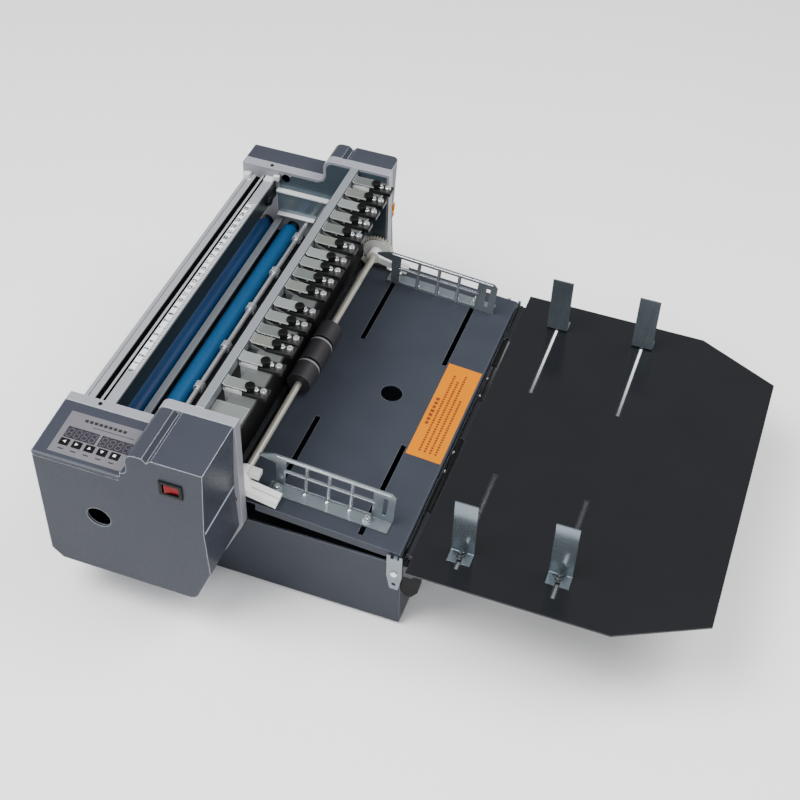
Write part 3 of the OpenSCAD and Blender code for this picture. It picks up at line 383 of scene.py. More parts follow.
class Form:
    """Closed solids in millimetres, gathered into one mesh."""

    def __init__(self):
        self.bm = bmesh.new()

    def shell(self, rings, frame=Matrix()):
        """Rings of equal length, joined one to the next and closed at both ends."""
        loops = [[self.bm.verts.new((frame @ Vector(p)) * MM) for p in ring] for ring in rings]
        count = len(loops[0])
        for a, b in zip(loops, loops[1:]):
            for i in range(count):
                j = (i + 1) % count
                self.bm.faces.new((a[i], a[j], b[j], b[i]))
        self.bm.faces.new(list(reversed(loops[0])))
        self.bm.faces.new(loops[-1])
        return self

    def prism(self, outline, c0, c1, frame=Matrix()):
        return self.shell([[(a, b, c) for a, b in outline] for c in (c0, c1)], frame)

    def block(self, xs, ys, zs, frame=Matrix()):
        """Box from its three spans."""
        (x0, x1), (y0, y1), (z0, z1) = xs, ys, zs
        return self.prism([(x0, y0), (x1, y0), (x1, y1), (x0, y1)], z0, z1, frame)

    def lathe(self, profile, frame=Matrix(), steps=32):
        """Solid of revolution about the frame's Z from (radius, height) points."""
        rings = [[(r * c, r * s, h) for c, s in circle(steps)] for r, h in profile]
        return self.shell(rings, frame)

    def knurl(self, radius, depth, teeth, z0, z1, edge, frame=Matrix()):
        """Knurled drum with chamfered ends."""
        def ring(r, z):
            radii = (r - depth, r)
            return [(radii[i % 2] * c, radii[i % 2] * s, z) for i, (c, s) in enumerate(circle(2 * teeth))]

        return self.shell([ring(radius - edge, z0), ring(radius, z0 + edge), ring(radius, z1 - edge),
                           ring(radius - edge, z1)], frame)

    def slotted(self, radius, z0, z1, slot_w, frame=Matrix(), steps=24):
        """Screw head: a disc with two lips beside its slot."""
        split = z0 + 0.5 * (z1 - z0)
        edge = 0.12 * radius
        sunk = 0.05
        lip_steps = 12
        self.lathe([(radius, z0), (radius, split)], frame, steps)
        start = math.asin(slot_w / 2 / radius)
        sweep = math.pi - 2 * start
        levels = ((1.0, split - sunk), (1.0, z1 - edge), ((radius - edge) / radius, z1))
        for side in (0.0, math.pi):
            turns = [start + sweep * i / lip_steps + side for i in range(lip_steps + 1)]
            ring = [(radius * math.cos(a), radius * math.sin(a)) for a in turns]
            self.shell([[(x * k, y * k, z) for x, y in ring] for k, z in levels], frame)
        return self

    def piece(self, name, material, body, bevel=0.0, segments=2, node=None, slot=None):
        obj = new_object(name, self.bm)
        soften(obj, bevel, segments)
        return attach(obj, material, body, node)


def circle(steps):
    return [(math.cos(2 * math.pi * i / steps), math.sin(2 * math.pi * i / steps)) for i in range(steps)]


def at(x, y, z):
    return Matrix.Translation((x, y, z))


def cut(obj, form):
    """Takes the form's solids out of obj."""
    tool = new_object(obj.name + "_cut", form.bm)
    hole = obj.modifiers.new("hole", "BOOLEAN")
    hole.operation = "DIFFERENCE"
    hole.solver = "EXACT"
    hole.object = tool
    settle(obj)
    mesh = tool.data
    bpy.data.objects.remove(tool)
    bpy.data.meshes.remove(mesh)


# CAD nodes that keep their shape, with the material and the bevel that each gets
wide_bevel = 0.7
dressed = {
    "chassis": (box_paint, 0.8),
    "near_side_plate": (plate_paint, 0.8),
    "far_side_plate": (plate_paint, 0.8),
    "rear_profile": (anodised, 0.3),
    "cross_bars": (bar_metal, 0.5),
    "knife_bed": (bed_steel, 0.3),
    "sheet_guides": (black_sheet, 0.2),
    "hinge_brackets": (zinc, 0.3),
    "motor": (motor_black, 0.8),
    "control_board": (board_green, 0.2),
    "rocker_bezel": (black_plastic, 0.5),
    "bearings": (bronze, 0.3),
    "feet": (rubber_black, 0.8),
    "power_supply": (motor_black, 0.6),
    "anvil_roller": (dark_steel, 0.4),
    "anvil_gears": (gear_plastic, 0.1),
    "front_roller": (blue_rubber, 0.5),
    "rear_roller": (shaded_blue_rubber, 0.5),
    "collar_shaft": (steel, 0.4),
    "motor_pinion": (bronze, 0.1),
    "transfer_gear": (gear_plastic, 0.1),
    "idler_gear": (gear_plastic, 0.1),
    "feed_shaft": (shaft_steel, 0.2),
    "feed_rollers": (roller_rubber, 0.8),
    "feed_table": (table_paint, 0.4),
    "near_guide": (zinc, 0.3),
    "far_guide": (zinc, 0.3),
    "paper_tray": (tray_paint, 0.4),
    "rocker": (red_plastic, 0.4),
    "near_lever": (white_plastic, 0.6),
    "far_lever": (white_plastic, 0.6),
}
for node, (material, bevel) in dressed.items():
    dress(node, material, bevel, segments=3 if bevel > wide_bevel else 2)
for i in range(1, button_count + 1):
    dress("button_%d" % i, black_plastic, bevel=0.5, segments=3)


# Covers, with their outer edges rounded further
hole_z = 121.3
hole_reach = 14.0
hole_centre = Vector(((low("front_roller").x + high("front_roller").x) / 2, 0, hole_z))
rocker_x = (low("rocker_bezel").x, high("rocker_bezel").x)
rocker_z = (low("rocker_bezel").z, high("rocker_bezel").z)
line_drop = 5.0
line_z = low_z - panel_drop - line_drop
line_span = (line_z - 0.5, line_z + 2.5)
line_end = x_head - 75.0
foot_x = (x_head - 24.0, x_head - 17.0)
foot_z = (44.0, 48.0)
foot_depth = 15.0
corner_reach = 8.0
corner_round = 7.0
near_round = 1.8
far_round = 2.2
cover_bevel = 0.3
on_face = 0.05


def inside(value, span):
    return span[0] < value < span[1]


def ends_of(edge):
    return [v.co / MM for v in edge.verts]


def outer_edge(y_face, depth):
    """Picks the edges of a cover's outer face and those that run across its depth."""
    def picks(edge):
        a, b = ends_of(edge)
        middle = (a + b) / 2
        if abs(abs(a.y - b.y) - depth) < 1.0 and abs(a.x - b.x) < 0.1:
            return True
        if abs(a.y - y_face) > on_face or abs(b.y - y_face) > on_face:
            return False
        in_hole = (Vector((middle.x, 0, middle.z)) - hole_centre).length < hole_reach
        in_bezel = inside(middle.x, rocker_x) and inside(middle.z, rocker_z)
        in_line = inside(middle.z, line_span) and middle.x < line_end
        return y_face > 0 or not (in_hole or in_bezel or in_line)
    return picks


def foot_edge(edge):
    """Picks the edges at the foot of the near cover's front that run across its depth."""
    a, b = ends_of(edge)
    middle = (a + b) / 2
    return abs(a.y - b.y) > foot_depth and inside(middle.x, foot_x) and inside(middle.z, foot_z)


def back_edge(edge):
    """Picks the upright edges at the far cover's outer front corner."""
    a, b = ends_of(edge)
    return min(a.y, b.y) > y_back - on_face and min(a.x, b.x) > x_head - corner_reach


near_outer = outer_edge(y_front, y_np - y_front)
far_outer = outer_edge(y_back, y_back - low("far_cover").y)
dress("near_cover", cover_paint, cover_bevel, rounds=((foot_edge, corner_round), (near_outer, near_round)))
dress("far_cover", cover_paint, cover_bevel, rounds=((back_edge, corner_round), (far_outer, far_round)))

lip_x = (x_rear + 1.2, x_head - 79.5)
lip_y = (y_front - 0.9, y_front + 1.4)
lip_z = (line_z + 2.0, line_z + 5.6)
lip = Form()
lip.block(lip_x, lip_y, lip_z)
lip.piece("panel_lip", cover_paint, "frame", bevel=0.9, segments=4, slot="cover_paint")

# A thin light bead along the near cover's crease; its light colour is a painted highlight of the fold.
bead_r = 0.9
bead_tip = 0.3
bead_place = at(x_head - 5.2, 0, 141.0) @ TOWARDS_Y
bead = Form()
bead.lathe([(bead_tip, y_front + 1.6), (bead_r, y_front + 2.4), (bead_r, y_np - 0.8), (bead_tip, y_np - 0.2)],
           bead_place, steps=16)
bead.piece("cover_crease_highlight", crease_highlight_paint, "frame", slot="cover_paint")


# Dark linings of the rear profile, black as painted shade in its slot and grooves, given by spans of X from
# the head's rear edge and of Z
slot_chamber = ((13.2, 26.3), (167.2, 173.2))
slot_neck = ((16.2, 22.0), (173.1, 175.4))
front_groove = ((26.6, 27.4), (176.1, 177.4))
rear_groove = ((9.1, 9.9), (175.6, 176.3))
dark_line = ((25.5, 27.1), (178.8, 179.06))
light_rib = ((22.8, 25.1), (175.6, 178.9))
end_gap = 0.5


def along_head(form, span_x, span_z):
    xs = [x_rear + x for x in span_x]
    form.block(xs, (y_ni + end_gap, y_fi - end_gap), span_z)


slot_shade_fill = Form()
for span_x, span_z in (slot_chamber, slot_neck, front_groove, rear_groove, dark_line):
    along_head(slot_shade_fill, span_x, span_z)
slot_shade_fill.piece("slot_shade_lining", slot_shade_black, "frame", slot="black_plastic")
rib = Form()
along_head(rib, *light_rib)
rib.piece("slot_rib", anodised, "frame", bevel=0.3, slot="anodised")

# A dark slate sheet on the rear profile's wall: painted shade, tinted as a painted reflection of the blue
# rollers.
wall_x = high("rear_profile").x
wall_gap = 0.3
wall_z = (low("rear_profile").z - 4.5, 176.5)
wall = Form()
wall.block((wall_x - 0.6, wall_x + 0.15), (y_ni + wall_gap, y_fi - wall_gap), wall_z)
wall.piece("profile_shade_lining", wall_shade_slate, "frame", slot="black_plastic")


# Linings and small fittings at the far end of the head, outlines in X and Z
FAR_PLATE = [(-246, 134), (x_head - 2.5, 134), (x_head - 2.5, high_z - 3), (-188, high_z - 3), (-192, 211),
             (-194, 207), (-194, 197), (-197, 190), (-204, 186.5), (-232, 186.5), (-234, 184), (-243, 184),
             (-246, 186.5)]
PAD_FACE = [(-247.0, 141.4), (-205.0, 141.4), (-192.5, 166.4), (-247.0, 166.4)]
plate_skin = (-0.1, 0.25)
pad_skin = (3.9, 4.25)
# The lining darkens the far plate's inner face with painted shade and a bluish painted reflection of the
# rollers.
lining = Form()
lining.prism(FAR_PLATE, plate_skin[0] - y_fi, plate_skin[1] - y_fi, ALONG_Y)
lining.piece("far_plate_shade_lining", plate_inner_shaded, "frame", slot="plate_paint")
pad_face = Form()
pad_face.prism(PAD_FACE, pad_skin[0] - y_fi, pad_skin[1] - y_fi, ALONG_Y)
pad_face.piece("pad_lining", pad_metal, "frame", slot="steel")

port_r = 4.4
port_t = 0.6
port_place = at(x_head - 112.6, y_fi + 0.1, 182) @ ALONG_Y
# A black disc paints the shade of a hole in the far plate.
port = Form()
port.lathe([(port_r, 0.0), (port_r, port_t)], port_place, steps=28)
port.piece("port_hole_shade", slot_shade_black, "frame", slot="black_plastic")

# Rails: spans of X, of the distance from the far side plate and of Z
upper_rail = ((-247.5, -190.5), (6.5, 0.2), (166.6, 168.6))
lower_rail = ((-246.0, -205.0), (9.5, 3.5), (139.6, 141.2))
profile_foot = ((-284.5, -277.0), (7.0, 0.2), (175.0, 180.5))
profile_cap = ((wall_x - 10.0, wall_x - 0.3), (9.0, 0.4), (178.8, 180.4))
corner_block = ((wall_x - 1.0, wall_x + 5.5), (4.5, 0.2), (178.8, 184.0))
rails = Form()
for span_x, back, span_z in (upper_rail, lower_rail, profile_foot, profile_cap, corner_block):
    rails.block(span_x, (y_fi - back[0], y_fi - back[1]), span_z)
rails.piece("end_rails", white_steel, "frame", bevel=0.4, slot="steel")

end_screw_places = ((x_rear + 7.0, y_fi - 3.5, 180.4), (x_rear + 12.0, y_fi - 10.0, 176.8))
ends = Form()
for place in end_screw_places:
    ends.slotted(radius=2.2, z0=0.0, z1=2.0, slot_w=0.6, frame=at(*place))
ends.piece("end_screws", bright_steel, "frame", slot="steel")

knob_place = at(wall_x, y_fi - 24.0, 167.0) @ TOWARDS_X
knob = Form()
knob.knurl(radius=4.6, depth=0.3, teeth=20, z0=0.0, z1=5.0, edge=0.5, frame=knob_place)
knob.piece("profile_knob", black_plastic, "frame", slot="black_plastic")


# Light grey bands on the feed rollers' segments, a painted highlight at their shoulders; shaft end and gear
# face
feed_lo, feed_hi = low("feed_rollers"), high("feed_rollers")
feed_x = (feed_lo.x + feed_hi.x) / 2
feed_z = (feed_lo.z + feed_hi.z) / 2
feed_r = (feed_hi.x - feed_lo.x) / 2
segment_ends = (feed_lo.y + 24.0, feed_lo.y + 56.0)
HIGHLIGHT_BAND = [(-0.9, -0.5), (-0.2, 0.0), (0.06, 0.7), (0.06, 2.4)]
highlight_bands = Form()
for end in segment_ends:
    highlight_bands.lathe([(feed_r + dr, dy - end) for dr, dy in HIGHLIGHT_BAND], at(feed_x, 0, feed_z) @ ALONG_Y, steps=40)
highlight_bands.piece("feed_roller_highlight_bands", band_highlight_grey, body_of["feed_rollers"], slot="steel")

shaft_r = 4.05
shaft_tip = 3.2
shaft_place = at(hole_centre.x, low("front_roller").y, hole_centre.z) @ TOWARDS_Y
shaft_end = Form()
shaft_end.lathe([(shaft_tip, -0.4), (shaft_r, 0.4), (shaft_r, 9.0)], shaft_place, steps=28)
shaft_end.piece("front_shaft_end", bright_steel, "front_roller", slot="steel")

gear_place = at(feed_x, high("far_lever").y + 0.5, feed_z) @ TOWARDS_Y
gear_face = Form()
gear_face.lathe([(14.2, -0.35), (14.6, 0.1)], gear_place, steps=40)
gear_face.piece("feed_gear_face", white_plastic, body_of["feed_shaft"], slot="white_plastic")


# Knife holders: outlines in X from the head's front edge and in Z from the bed
bed_drop = 10
bed_z = high_z - bed_drop
LEAF = [(-32.0, 8.5), (-31.2, 8.6), (-30.0, 7.4), (-28.6, 7.2), (-10.2, 7.2), (-9.5, 6.8), (-9.5, 6.0),
        (-28.8, 6.0), (-30.6, 6.3)]
BODY = [(-31.5, 0.05), (-14.0, 0.05), (-14.0, 4.0), (-31.0, 4.0), (-31.5, 3.5)]
ARM = [(-14.2, 0.05), (8.5, 0.05), (8.5, 3.4), (7.8, 4.0), (-14.2, 4.0)]
SHADED_BODY = [(-31.5, 0.05), (-17.0, 0.05), (-29.0, 4.0), (-31.0, 4.0), (-31.5, 3.5)]
ARM_WITH_SHADOW_WEDGE = [(-16.8, 0.05), (8.5, 0.05), (8.5, 3.4), (7.8, 4.0), (-28.8, 4.0)]
# The three holders in light are white steel; the others get a darker copy of the steel as painted shade, and
# their black arm runs back under the leaf as a wedge, a painted shadow.
LIT_HOLDERS = ("knife_01", "knife_15", "knife_16")
knife_count = 16
spacer_x = (-24.5, -17.5)
spacer_z = (3.9, 6.1)
spacer_in = 2.0
stem_x = (-31.5, -24.5)
stem_half = 4.0
stem_z = (-78.7, 1.0)
blade_x = (low("anvil_roller").x + high("anvil_roller").x) / 2 - x_head
blade_rise = 7.3
blade_z = high("anvil_roller").z + blade_rise - bed_z
carrier_x = (blade_x - 3.0, stem_x[1])
carrier_y = (-4.0, -1.0)
carrier_z = (blade_z - 3.0, blade_z + 11.0)
BLADE = [(5.6, -0.5), (7.0, 0.0), (5.6, 0.5)]
AXLE = [(1.5, -1.1), (1.5, 1.5)]
pin_r = 0.9
pin_out = 0.15
pin_place = at(-17.0, 0.0, 5.0)
rivet_r = 1.1
rivet_out = 0.1
rivet_place = at(-30.3, 0.0, 5.1)
knob_at = at(-8.5, 0.0, 0.0)
nut_at = at(-2.8, 0.0, 0.0)
screw_at = at(4.0, 0.0, 0.0)
nut_screw_turn = 0.6
screw_turn = 0.9
knife_bevel = 0.3
leaf_bevel = 0.25


def turned(angle):
    return Matrix.Rotation(angle, 4, "Z")


def knife(node):
    lo, hi = low(node), high(node)
    half = (hi.y - lo.y) / 2
    here = at(x_head, (lo.y + hi.y) / 2, bed_z)
    side = here @ ALONG_Y
    body = body_of[node]
    lit_holder = node in LIT_HOLDERS
    holder = Form()
    # Shaded holders have a body cut back and a longer black arm, so that a black wedge under the leaf paints
    # its shadow.
    holder.prism(BODY if lit_holder else SHADED_BODY, -half, half, side)
    holder.block(spacer_x, (-half + spacer_in, half - spacer_in), spacer_z, here)
    holder.block(stem_x, (-stem_half, stem_half), stem_z, here)
    holder.block(carrier_x, carrier_y, carrier_z, here)
    holder.lathe([(pin_r, -half - pin_out), (pin_r, half + pin_out)], here @ pin_place @ ALONG_Y, steps=12)
    holder.piece(node + "_holder", white_steel if lit_holder else holder_steel, body, knife_bevel, node=node,
                 slot=slot_of[node])
    arm = Form()
    arm.prism(ARM if lit_holder else ARM_WITH_SHADOW_WEDGE, -half, half, side)
    arm.piece(node + "_arm", black_sheet, body, knife_bevel, slot="black_plastic")
    blade = Form()
    axle = here @ at(blade_x, 0, blade_z) @ ALONG_Y
    blade.lathe(BLADE, axle, steps=48)
    blade.lathe(AXLE, axle, steps=16)
    blade.piece(node + "_blade", steel, body, slot="steel")
    leaf = Form()
    leaf.prism(LEAF, -half, half, side)
    leaf_steel = leaf_steels[int(node[-2:]) % len(leaf_steels)]
    leaf.piece(node + "_leaf", leaf_steel, body, leaf_bevel, slot=slot_of[node])
    knob = Form()
    knob.knurl(radius=4.5, depth=0.35, teeth=22, z0=4.0, z1=10.0, edge=0.6, frame=here @ knob_at)
    knob.piece(node + "_knob", black_plastic, body, slot="black_plastic")
    fixings = Form()
    fixings.knurl(radius=2.3, depth=0.25, teeth=14, z0=3.9, z1=6.2, edge=0.3, frame=here @ nut_at)
    fixings.slotted(radius=1.4, z0=6.0, z1=8.2, slot_w=0.5, frame=here @ nut_at @ turned(nut_screw_turn))
    fixings.slotted(radius=2.9, z0=3.9, z1=7.4, slot_w=0.9, frame=here @ screw_at @ turned(screw_turn))
    fixings.lathe([(rivet_r, -half - rivet_out), (rivet_r, half + rivet_out)], here @ rivet_place @ ALONG_Y,
                  steps=14)
    fixings.piece(node + "_screws", bright_steel, body, slot="steel")


for i in range(1, knife_count + 1):
    knife("knife_%02d" % i)
bed_end = Form()
bed_end.block((x_head - 31.5, x_head - 1.2), (y_ni + 0.6, y_ni + 22.0), (bed_z - 0.1, bed_z + 0.04))
bed_end.piece("bed_end_plate", leaf_steels[0], "frame", slot="steel")


# Paper stops: bent zinc sheet with a slot in the foot, clamp screw with two wings
STOPS = (("stop_near_in", -1), ("stop_near_out", -1), ("stop_far_in", 1), ("stop_far_out", 1))
stop_w = 21.0
stop_h = 64.0
stop_t = 1.5
stop_foot = 15.0
stop_bend = 2.2
stop_bevel = 0.35
stop_lift = 0.05
foot_slot_half = 2.1
foot_slot_start = 4.5
cut_past = 2.0
cut_below = 1.0
cut_above = 0.2
bend_steps = 5
STEM = [(1.05, -tray_t - 3.0), (1.05, 0.1), (1.7, 0.3), (1.7, 8.5), (1.2, 9.0)]
WASHER = [(3.9, 0.0), (3.9, 0.9), (3.6, 1.1)]
HUB = [(3.4, 1.0), (3.0, 3.4), (2.6, 3.8)]
WING = [(1.5, 1.6), (4.2, 3.0), (6.4, 6.6), (5.6, 7.6), (4.0, 6.6), (1.5, 3.6)]
wing_half = 0.7
wing_turn = 0.35
clamp_bevel = 0.25
nut_r = 4.0
nut_h = 3.0
nut_gap = 0.1
# Lays a section drawn in Y and Z across X
ACROSS = Matrix(((0, 0, 1, 0), (1, 0, 0, 0), (0, 1, 0, 0), (0, 0, 0, 1)))


def quarter(radius):
    """Quarter circle about the middle of the bend, from the upright to the foot."""
    angles = [math.radians(90) * i / bend_steps for i in range(bend_steps + 1)]
    return [(stop_bend - radius * math.cos(a), stop_bend - radius * math.sin(a)) for a in angles]


def bent_sheet(outward):
    """Section of the stop in Y and Z: upright with a rounded bend into the foot."""
    outer_arc = quarter(stop_bend)
    inner_arc = quarter(stop_bend - stop_t)
    foot_end = [(stop_foot, 0.0), (stop_foot, stop_t)]
    points = [(0.0, stop_h)] + outer_arc + foot_end + inner_arc[::-1] + [(stop_t, stop_h)]
    return [(outward * y, z) for y, z in points]


def raised(profile):
    """Profile of the clamp, lifted onto the foot."""
    return [(a, stop_t + b) for a, b in profile]


def paper_stop(node, outward):
    lo, hi = low(node), high(node)
    x = (lo.x + hi.x) / 2
    y = lo.y if outward > 0 else hi.y
    z = tray_z + stop_lift
    body = body_of[node]
    sheet = Form()
    sheet.prism(bent_sheet(outward), -stop_w / 2, stop_w / 2, at(x, y, z) @ ACROSS)
    obj = new_object(node + "_sheet", sheet.bm)
    slot = Form()
    reach = sorted((y + outward * foot_slot_start, y + outward * (stop_foot + cut_past)))
    slot.block((x - foot_slot_half, x + foot_slot_half), reach, (z - cut_below, z + stop_t + cut_above))
    cut(obj, slot)
    soften(obj, stop_bevel)
    attach(obj, stop_zinc, body, node)
    clamp = Form()
    here = at(x, y + outward * stop_foot / 2, z)
    clamp.lathe(STEM, here, steps=20)
    clamp.lathe(raised(WASHER), here, steps=28)
    clamp.lathe(raised(HUB), here, steps=24)
    for turn in (wing_turn, wing_turn + math.pi):
        clamp.prism(raised(WING), -wing_half, wing_half, here @ turned(turn) @ ALONG_Y)
    nut_z = (-tray_t - nut_gap - nut_h, -tray_t - nut_gap)
    clamp.shell([[(nut_r * c, nut_r * s, h) for c, s in circle(6)] for h in nut_z], here)
    clamp.piece(node + "_clamp", clamp_steel, body, clamp_bevel, slot="steel")


for node, outward in STOPS:
    paper_stop(node, outward)


# Rolled edges that narrow the tray's slots
slot_reach = (57.0, 173.0)
rolled = (1.25, 2.3)
rolled_z = (tray_z - tray_t + 0.1, tray_z - 0.04)
edges = Form()
for node, side in STOPS:
    x = (low(node).x + high(node).x) / 2
    ys = sorted(y_mid + side * reach for reach in slot_reach)
    edges.block((x - rolled[1], x - rolled[0]), ys, rolled_z)
    edges.block((x + rolled[0], x + rolled[1]), ys, rolled_z)
edges.piece("tray_slot_edges", tray_paint, "paper_tray", slot=slot_of["paper_tray"])


# Gussets below the tray, carried on down the front of the feed box
GUSSET = [(20.2, 80.0), (38.0, 80.0), (38.4, 70.0), (36.0, 53.0), (30.0, 44.5), (25.0, 44.5), (20.2, 50.0)]
gusset_w = 8.4
gusset_in = 0.3
gussets = Form()
for y0 in (y_ni + gusset_in, y_fi - gusset_in - gusset_w):
    gussets.prism(GUSSET, -y0 - gusset_w, -y0, ALONG_Y)
gussets.piece("tray_gussets", black_plastic, "paper_tray", bevel=0.8, segments=3, slot="black_plastic")


# Side guides: clamp screws, round bars along the windows, rivets at their feet, filled notch of the foot
GUIDES = (("near_guide", -1), ("far_guide", 1))
slot_u = (-122.4, -36.6)
guide_foot = 14.0
guide_t = 1.5
guide_z = table_rise + 0.05
guide_top = guide_z + guide_t
guide_start = slot_u[0] - 21.0
window_start = guide_start + 26.0
window_pitch = 21.5
window_count = 4
bar_w = 3.5
bar_r = 1.15
bar_foot = 0.5
mid_rail = 20.9
mid_rail_u = (window_start - 1.5, window_start + window_count * window_pitch - 2.0)
top_rail = 36.75
top_rail_r = 1.45
top_rail_u = (guide_start + 16.0, guide_start + 124.0)
RIVET = [(2.4, -0.1), (2.3, 0.8), (1.7, 1.6), (0.7, 2.0)]
rivet_out_y = guide_t + 2.6
notch_u = (guide_start + 51.8, guide_start + 67.2)
notch_y = (5.8, guide_foot)
notch_z = (guide_z + 0.02, guide_top + 0.03)
first_turn = 0.5


def inner_face(node, side):
    return high(node).y if side < 0 else low(node).y


for node, side in GUIDES:
    screw_y = inner_face(node, side) + side * guide_foot / 2
    for n, u in enumerate(slot_u):
        screw = Form()
        here = TABLE @ at(u, screw_y, guide_top)
        screw.knurl(radius=3.9, depth=0.3, teeth=20, z0=0.0, z1=3.0, edge=0.35, frame=here)
        screw.slotted(radius=2.6, z0=2.9, z1=4.8, slot_w=0.8, frame=here @ turned(first_turn + n))
        screw.piece("%s_screw_%d" % (node, n + 1), bright_steel, body_of[node], slot="steel")

for node, side in GUIDES:
    inner_y = inner_face(node, side)
    middle = inner_y + side * guide_t / 2
    rods = Form()
    rivets = Form()
    for i in range(1, window_count):
        u = window_start + i * window_pitch - bar_w / 2
        rods.lathe([(bar_r, bar_foot), (bar_r, top_rail)], TABLE @ at(u, middle, guide_z), steps=16)
        rivets.lathe(RIVET, TABLE @ at(u, inner_y + side * rivet_out_y, guide_top), steps=20)
    for radius, z, span in ((bar_r, mid_rail, mid_rail_u), (top_rail_r, top_rail, top_rail_u)):
        rail_place = TABLE @ at(span[0], middle, guide_z + z) @ TOWARDS_X
        rods.lathe([(radius, 0.0), (radius, span[1] - span[0])], rail_place, steps=16)
    foot = Form()
    foot.block(notch_u, sorted(inner_y + side * y for y in notch_y), notch_z, TABLE)
    foot.piece(node + "_foot", zinc, body_of[node], slot=slot_of[node])
    rods.piece(node + "_rods", steel, body_of[node], slot="steel")
    rivets.piece(node + "_rivets", bright_steel, body_of[node], slot="steel")


# Screw heads on the frame: slotted ones on brackets and hinge, dark ones on the side plates
bracket_x = 14.25
bracket_z = 74.0
bracket_out = 1.5
leaf_x = box_front + 1.5
leaf_screw_y = (-65, -40, 40, 65)
leaf_screw_z = tray_z - tray_t / 2 - 4.5
plate_screw_x = x_rear + 32
plate_screw_in = 5
PLATE_SCREW = [(1.9, 0.0), (1.9, 0.35), (1.6, 0.55), (0.9, 0.55), (0.7, 0.15)]
heads = Form()
for y, facing in ((y_ni - bracket_out, ALONG_Y), (y_fi + bracket_out, TOWARDS_Y)):
    heads.slotted(radius=3.2, z0=0.0, z1=1.4, slot_w=0.8, frame=at(bracket_x, y, bracket_z) @ facing)
for dy in leaf_screw_y:
    leaf_place = at(leaf_x, y_mid + dy, leaf_screw_z) @ TOWARDS_X
    heads.slotted(radius=2.0, z0=0.0, z1=1.2, slot_w=0.6, frame=leaf_place)
heads.piece("screw_heads", bright_steel, "frame", node="screws", slot=slot_of["screws"])
dark_heads = Form()
for y in (y_ni - plate_screw_in, y_fi + plate_screw_in):
    dark_heads.lathe(PLATE_SCREW, at(plate_screw_x, y, low_z), steps=24)
dark_heads.piece("plate_screws", black_plastic, "frame", slot=slot_of["screws"])


# Control panel: label with windows, displays with unlit digits, marks on the buttons
def windowed(lo, hi, windows, c0, c1, frame):
    """Plate with rectangular windows, as one closed mesh."""
    form = Form()
    xs = sorted({lo[0], hi[0], *[w[0] for w in windows], *[w[2] for w in windows]})
    ys = sorted({lo[1], hi[1], *[w[1] for w in windows], *[w[3] for w in windows]})

    def solid(i, j):
        if not (0 <= i < len(xs) - 1 and 0 <= j < len(ys) - 1):
            return False
        x, y = (xs[i] + xs[i + 1]) / 2, (ys[j] + ys[j + 1]) / 2
        return not any(w[0] < x < w[2] and w[1] < y < w[3] for w in windows)

    corners = {}

    def corner(i, j, c):
        if (i, j, c) not in corners:
            corners[i, j, c] = form.bm.verts.new((frame @ Vector((xs[i], ys[j], c))) * MM)
        return corners[i, j, c]

    for i in range(len(xs) - 1):
        for j in range(len(ys) - 1):
            if not solid(i, j):
                continue
            ring = [(i, j), (i + 1, j), (i + 1, j + 1), (i, j + 1)]
            form.bm.faces.new([corner(a, b, c1) for a, b in ring])
            form.bm.faces.new([corner(a, b, c0) for a, b in reversed(ring)])
            for k, step in enumerate(((0, -1), (1, 0), (0, 1), (-1, 0))):
                if solid(i + step[0], j + step[1]):
                    continue
                a, b = ring[k], ring[(k + 1) % 4]
                form.bm.faces.new([corner(*a, c0), corner(*b, c0), corner(*b, c1), corner(*a, c1)])
    return form


def around(x, v, half):
    """Window about a middle point, as its low and high corners."""
    return (x - half[0], v - half[1], x + half[0], v + half[1])


label_lo = (x_rear + 13.5, 5.0)
label_hi = (x_rear + 83.0, 50.0)
label_w = (0.02, 0.3)
button_half = (4.4, 3.6)
display_half = (display_size[0] / 2, display_size[1] / 2)
windows = [around(x, display_v, display_half) for x in display_x]
windows += [around(button_x + i * button_pitch, button_v, button_half) for i in range(button_count)]
label = windowed(label_lo, label_hi, windows, *label_w, PANEL)
label.piece("panel_label", label_film, "frame", slot="cover_paint")

print_w = (0.28, 0.34)
title_count = 9
title_pitch = 4.5
title_dash = 3.2
title_x = label_x - 19.0
title_v = (42.2, 45.0)
rule_x = (label_x - 9.0, label_x + 29.0)
rule_v = (38.6, 39.2)
caption_half = 2.6
caption_v = (9.6, 10.7)
print_bars = Form()
for i in range(title_count):
    x = title_x + title_pitch * i
    print_bars.block((x, x + title_dash), title_v, print_w, PANEL)
print_bars.block(rule_x, rule_v, print_w, PANEL)
for i in range(button_count):
    x = button_x + i * button_pitch
    print_bars.block((x - caption_half, x + caption_half), caption_v, print_w, PANEL)
print_bars.piece("panel_marks", dark_print, "frame", slot="black_plastic")

DIGIT = (4.6, 8.4)
SLANT = 0.12
digit_bar = 0.75
digit_gap = 0.5
digit_t = 0.05
digit_w = 0.09
digit_count = 4
digit_pitch = 7.2
digit_start = -10.8
glass_gap = 0.05
glass_w = (-0.55, 0.1)


def digit(form, x, v):
    """Seven bars of one digit, leaning to the right."""
    half_w, half_h = DIGIT[0] / 2, DIGIT[1] / 2

    def bar(a0, a1, b0, b1):
        corners = ((a0, b0), (a1, b0), (a1, b1), (a0, b1))
        outline = [(x + a + SLANT * b, v + b) for a, b in corners]
        form.prism(outline, digit_w, digit_w + digit_t, PANEL)

    for b in (-half_h, 0.0, half_h):
        bar(-half_w + digit_gap, half_w - digit_gap, b - digit_bar / 2, b + digit_bar / 2)
    for a in (-half_w, half_w):
        for b0, b1 in ((-half_h + digit_gap, -digit_gap), (digit_gap, half_h - digit_gap)):
            bar(a - digit_bar / 2, a + digit_bar / 2, b0, b1)


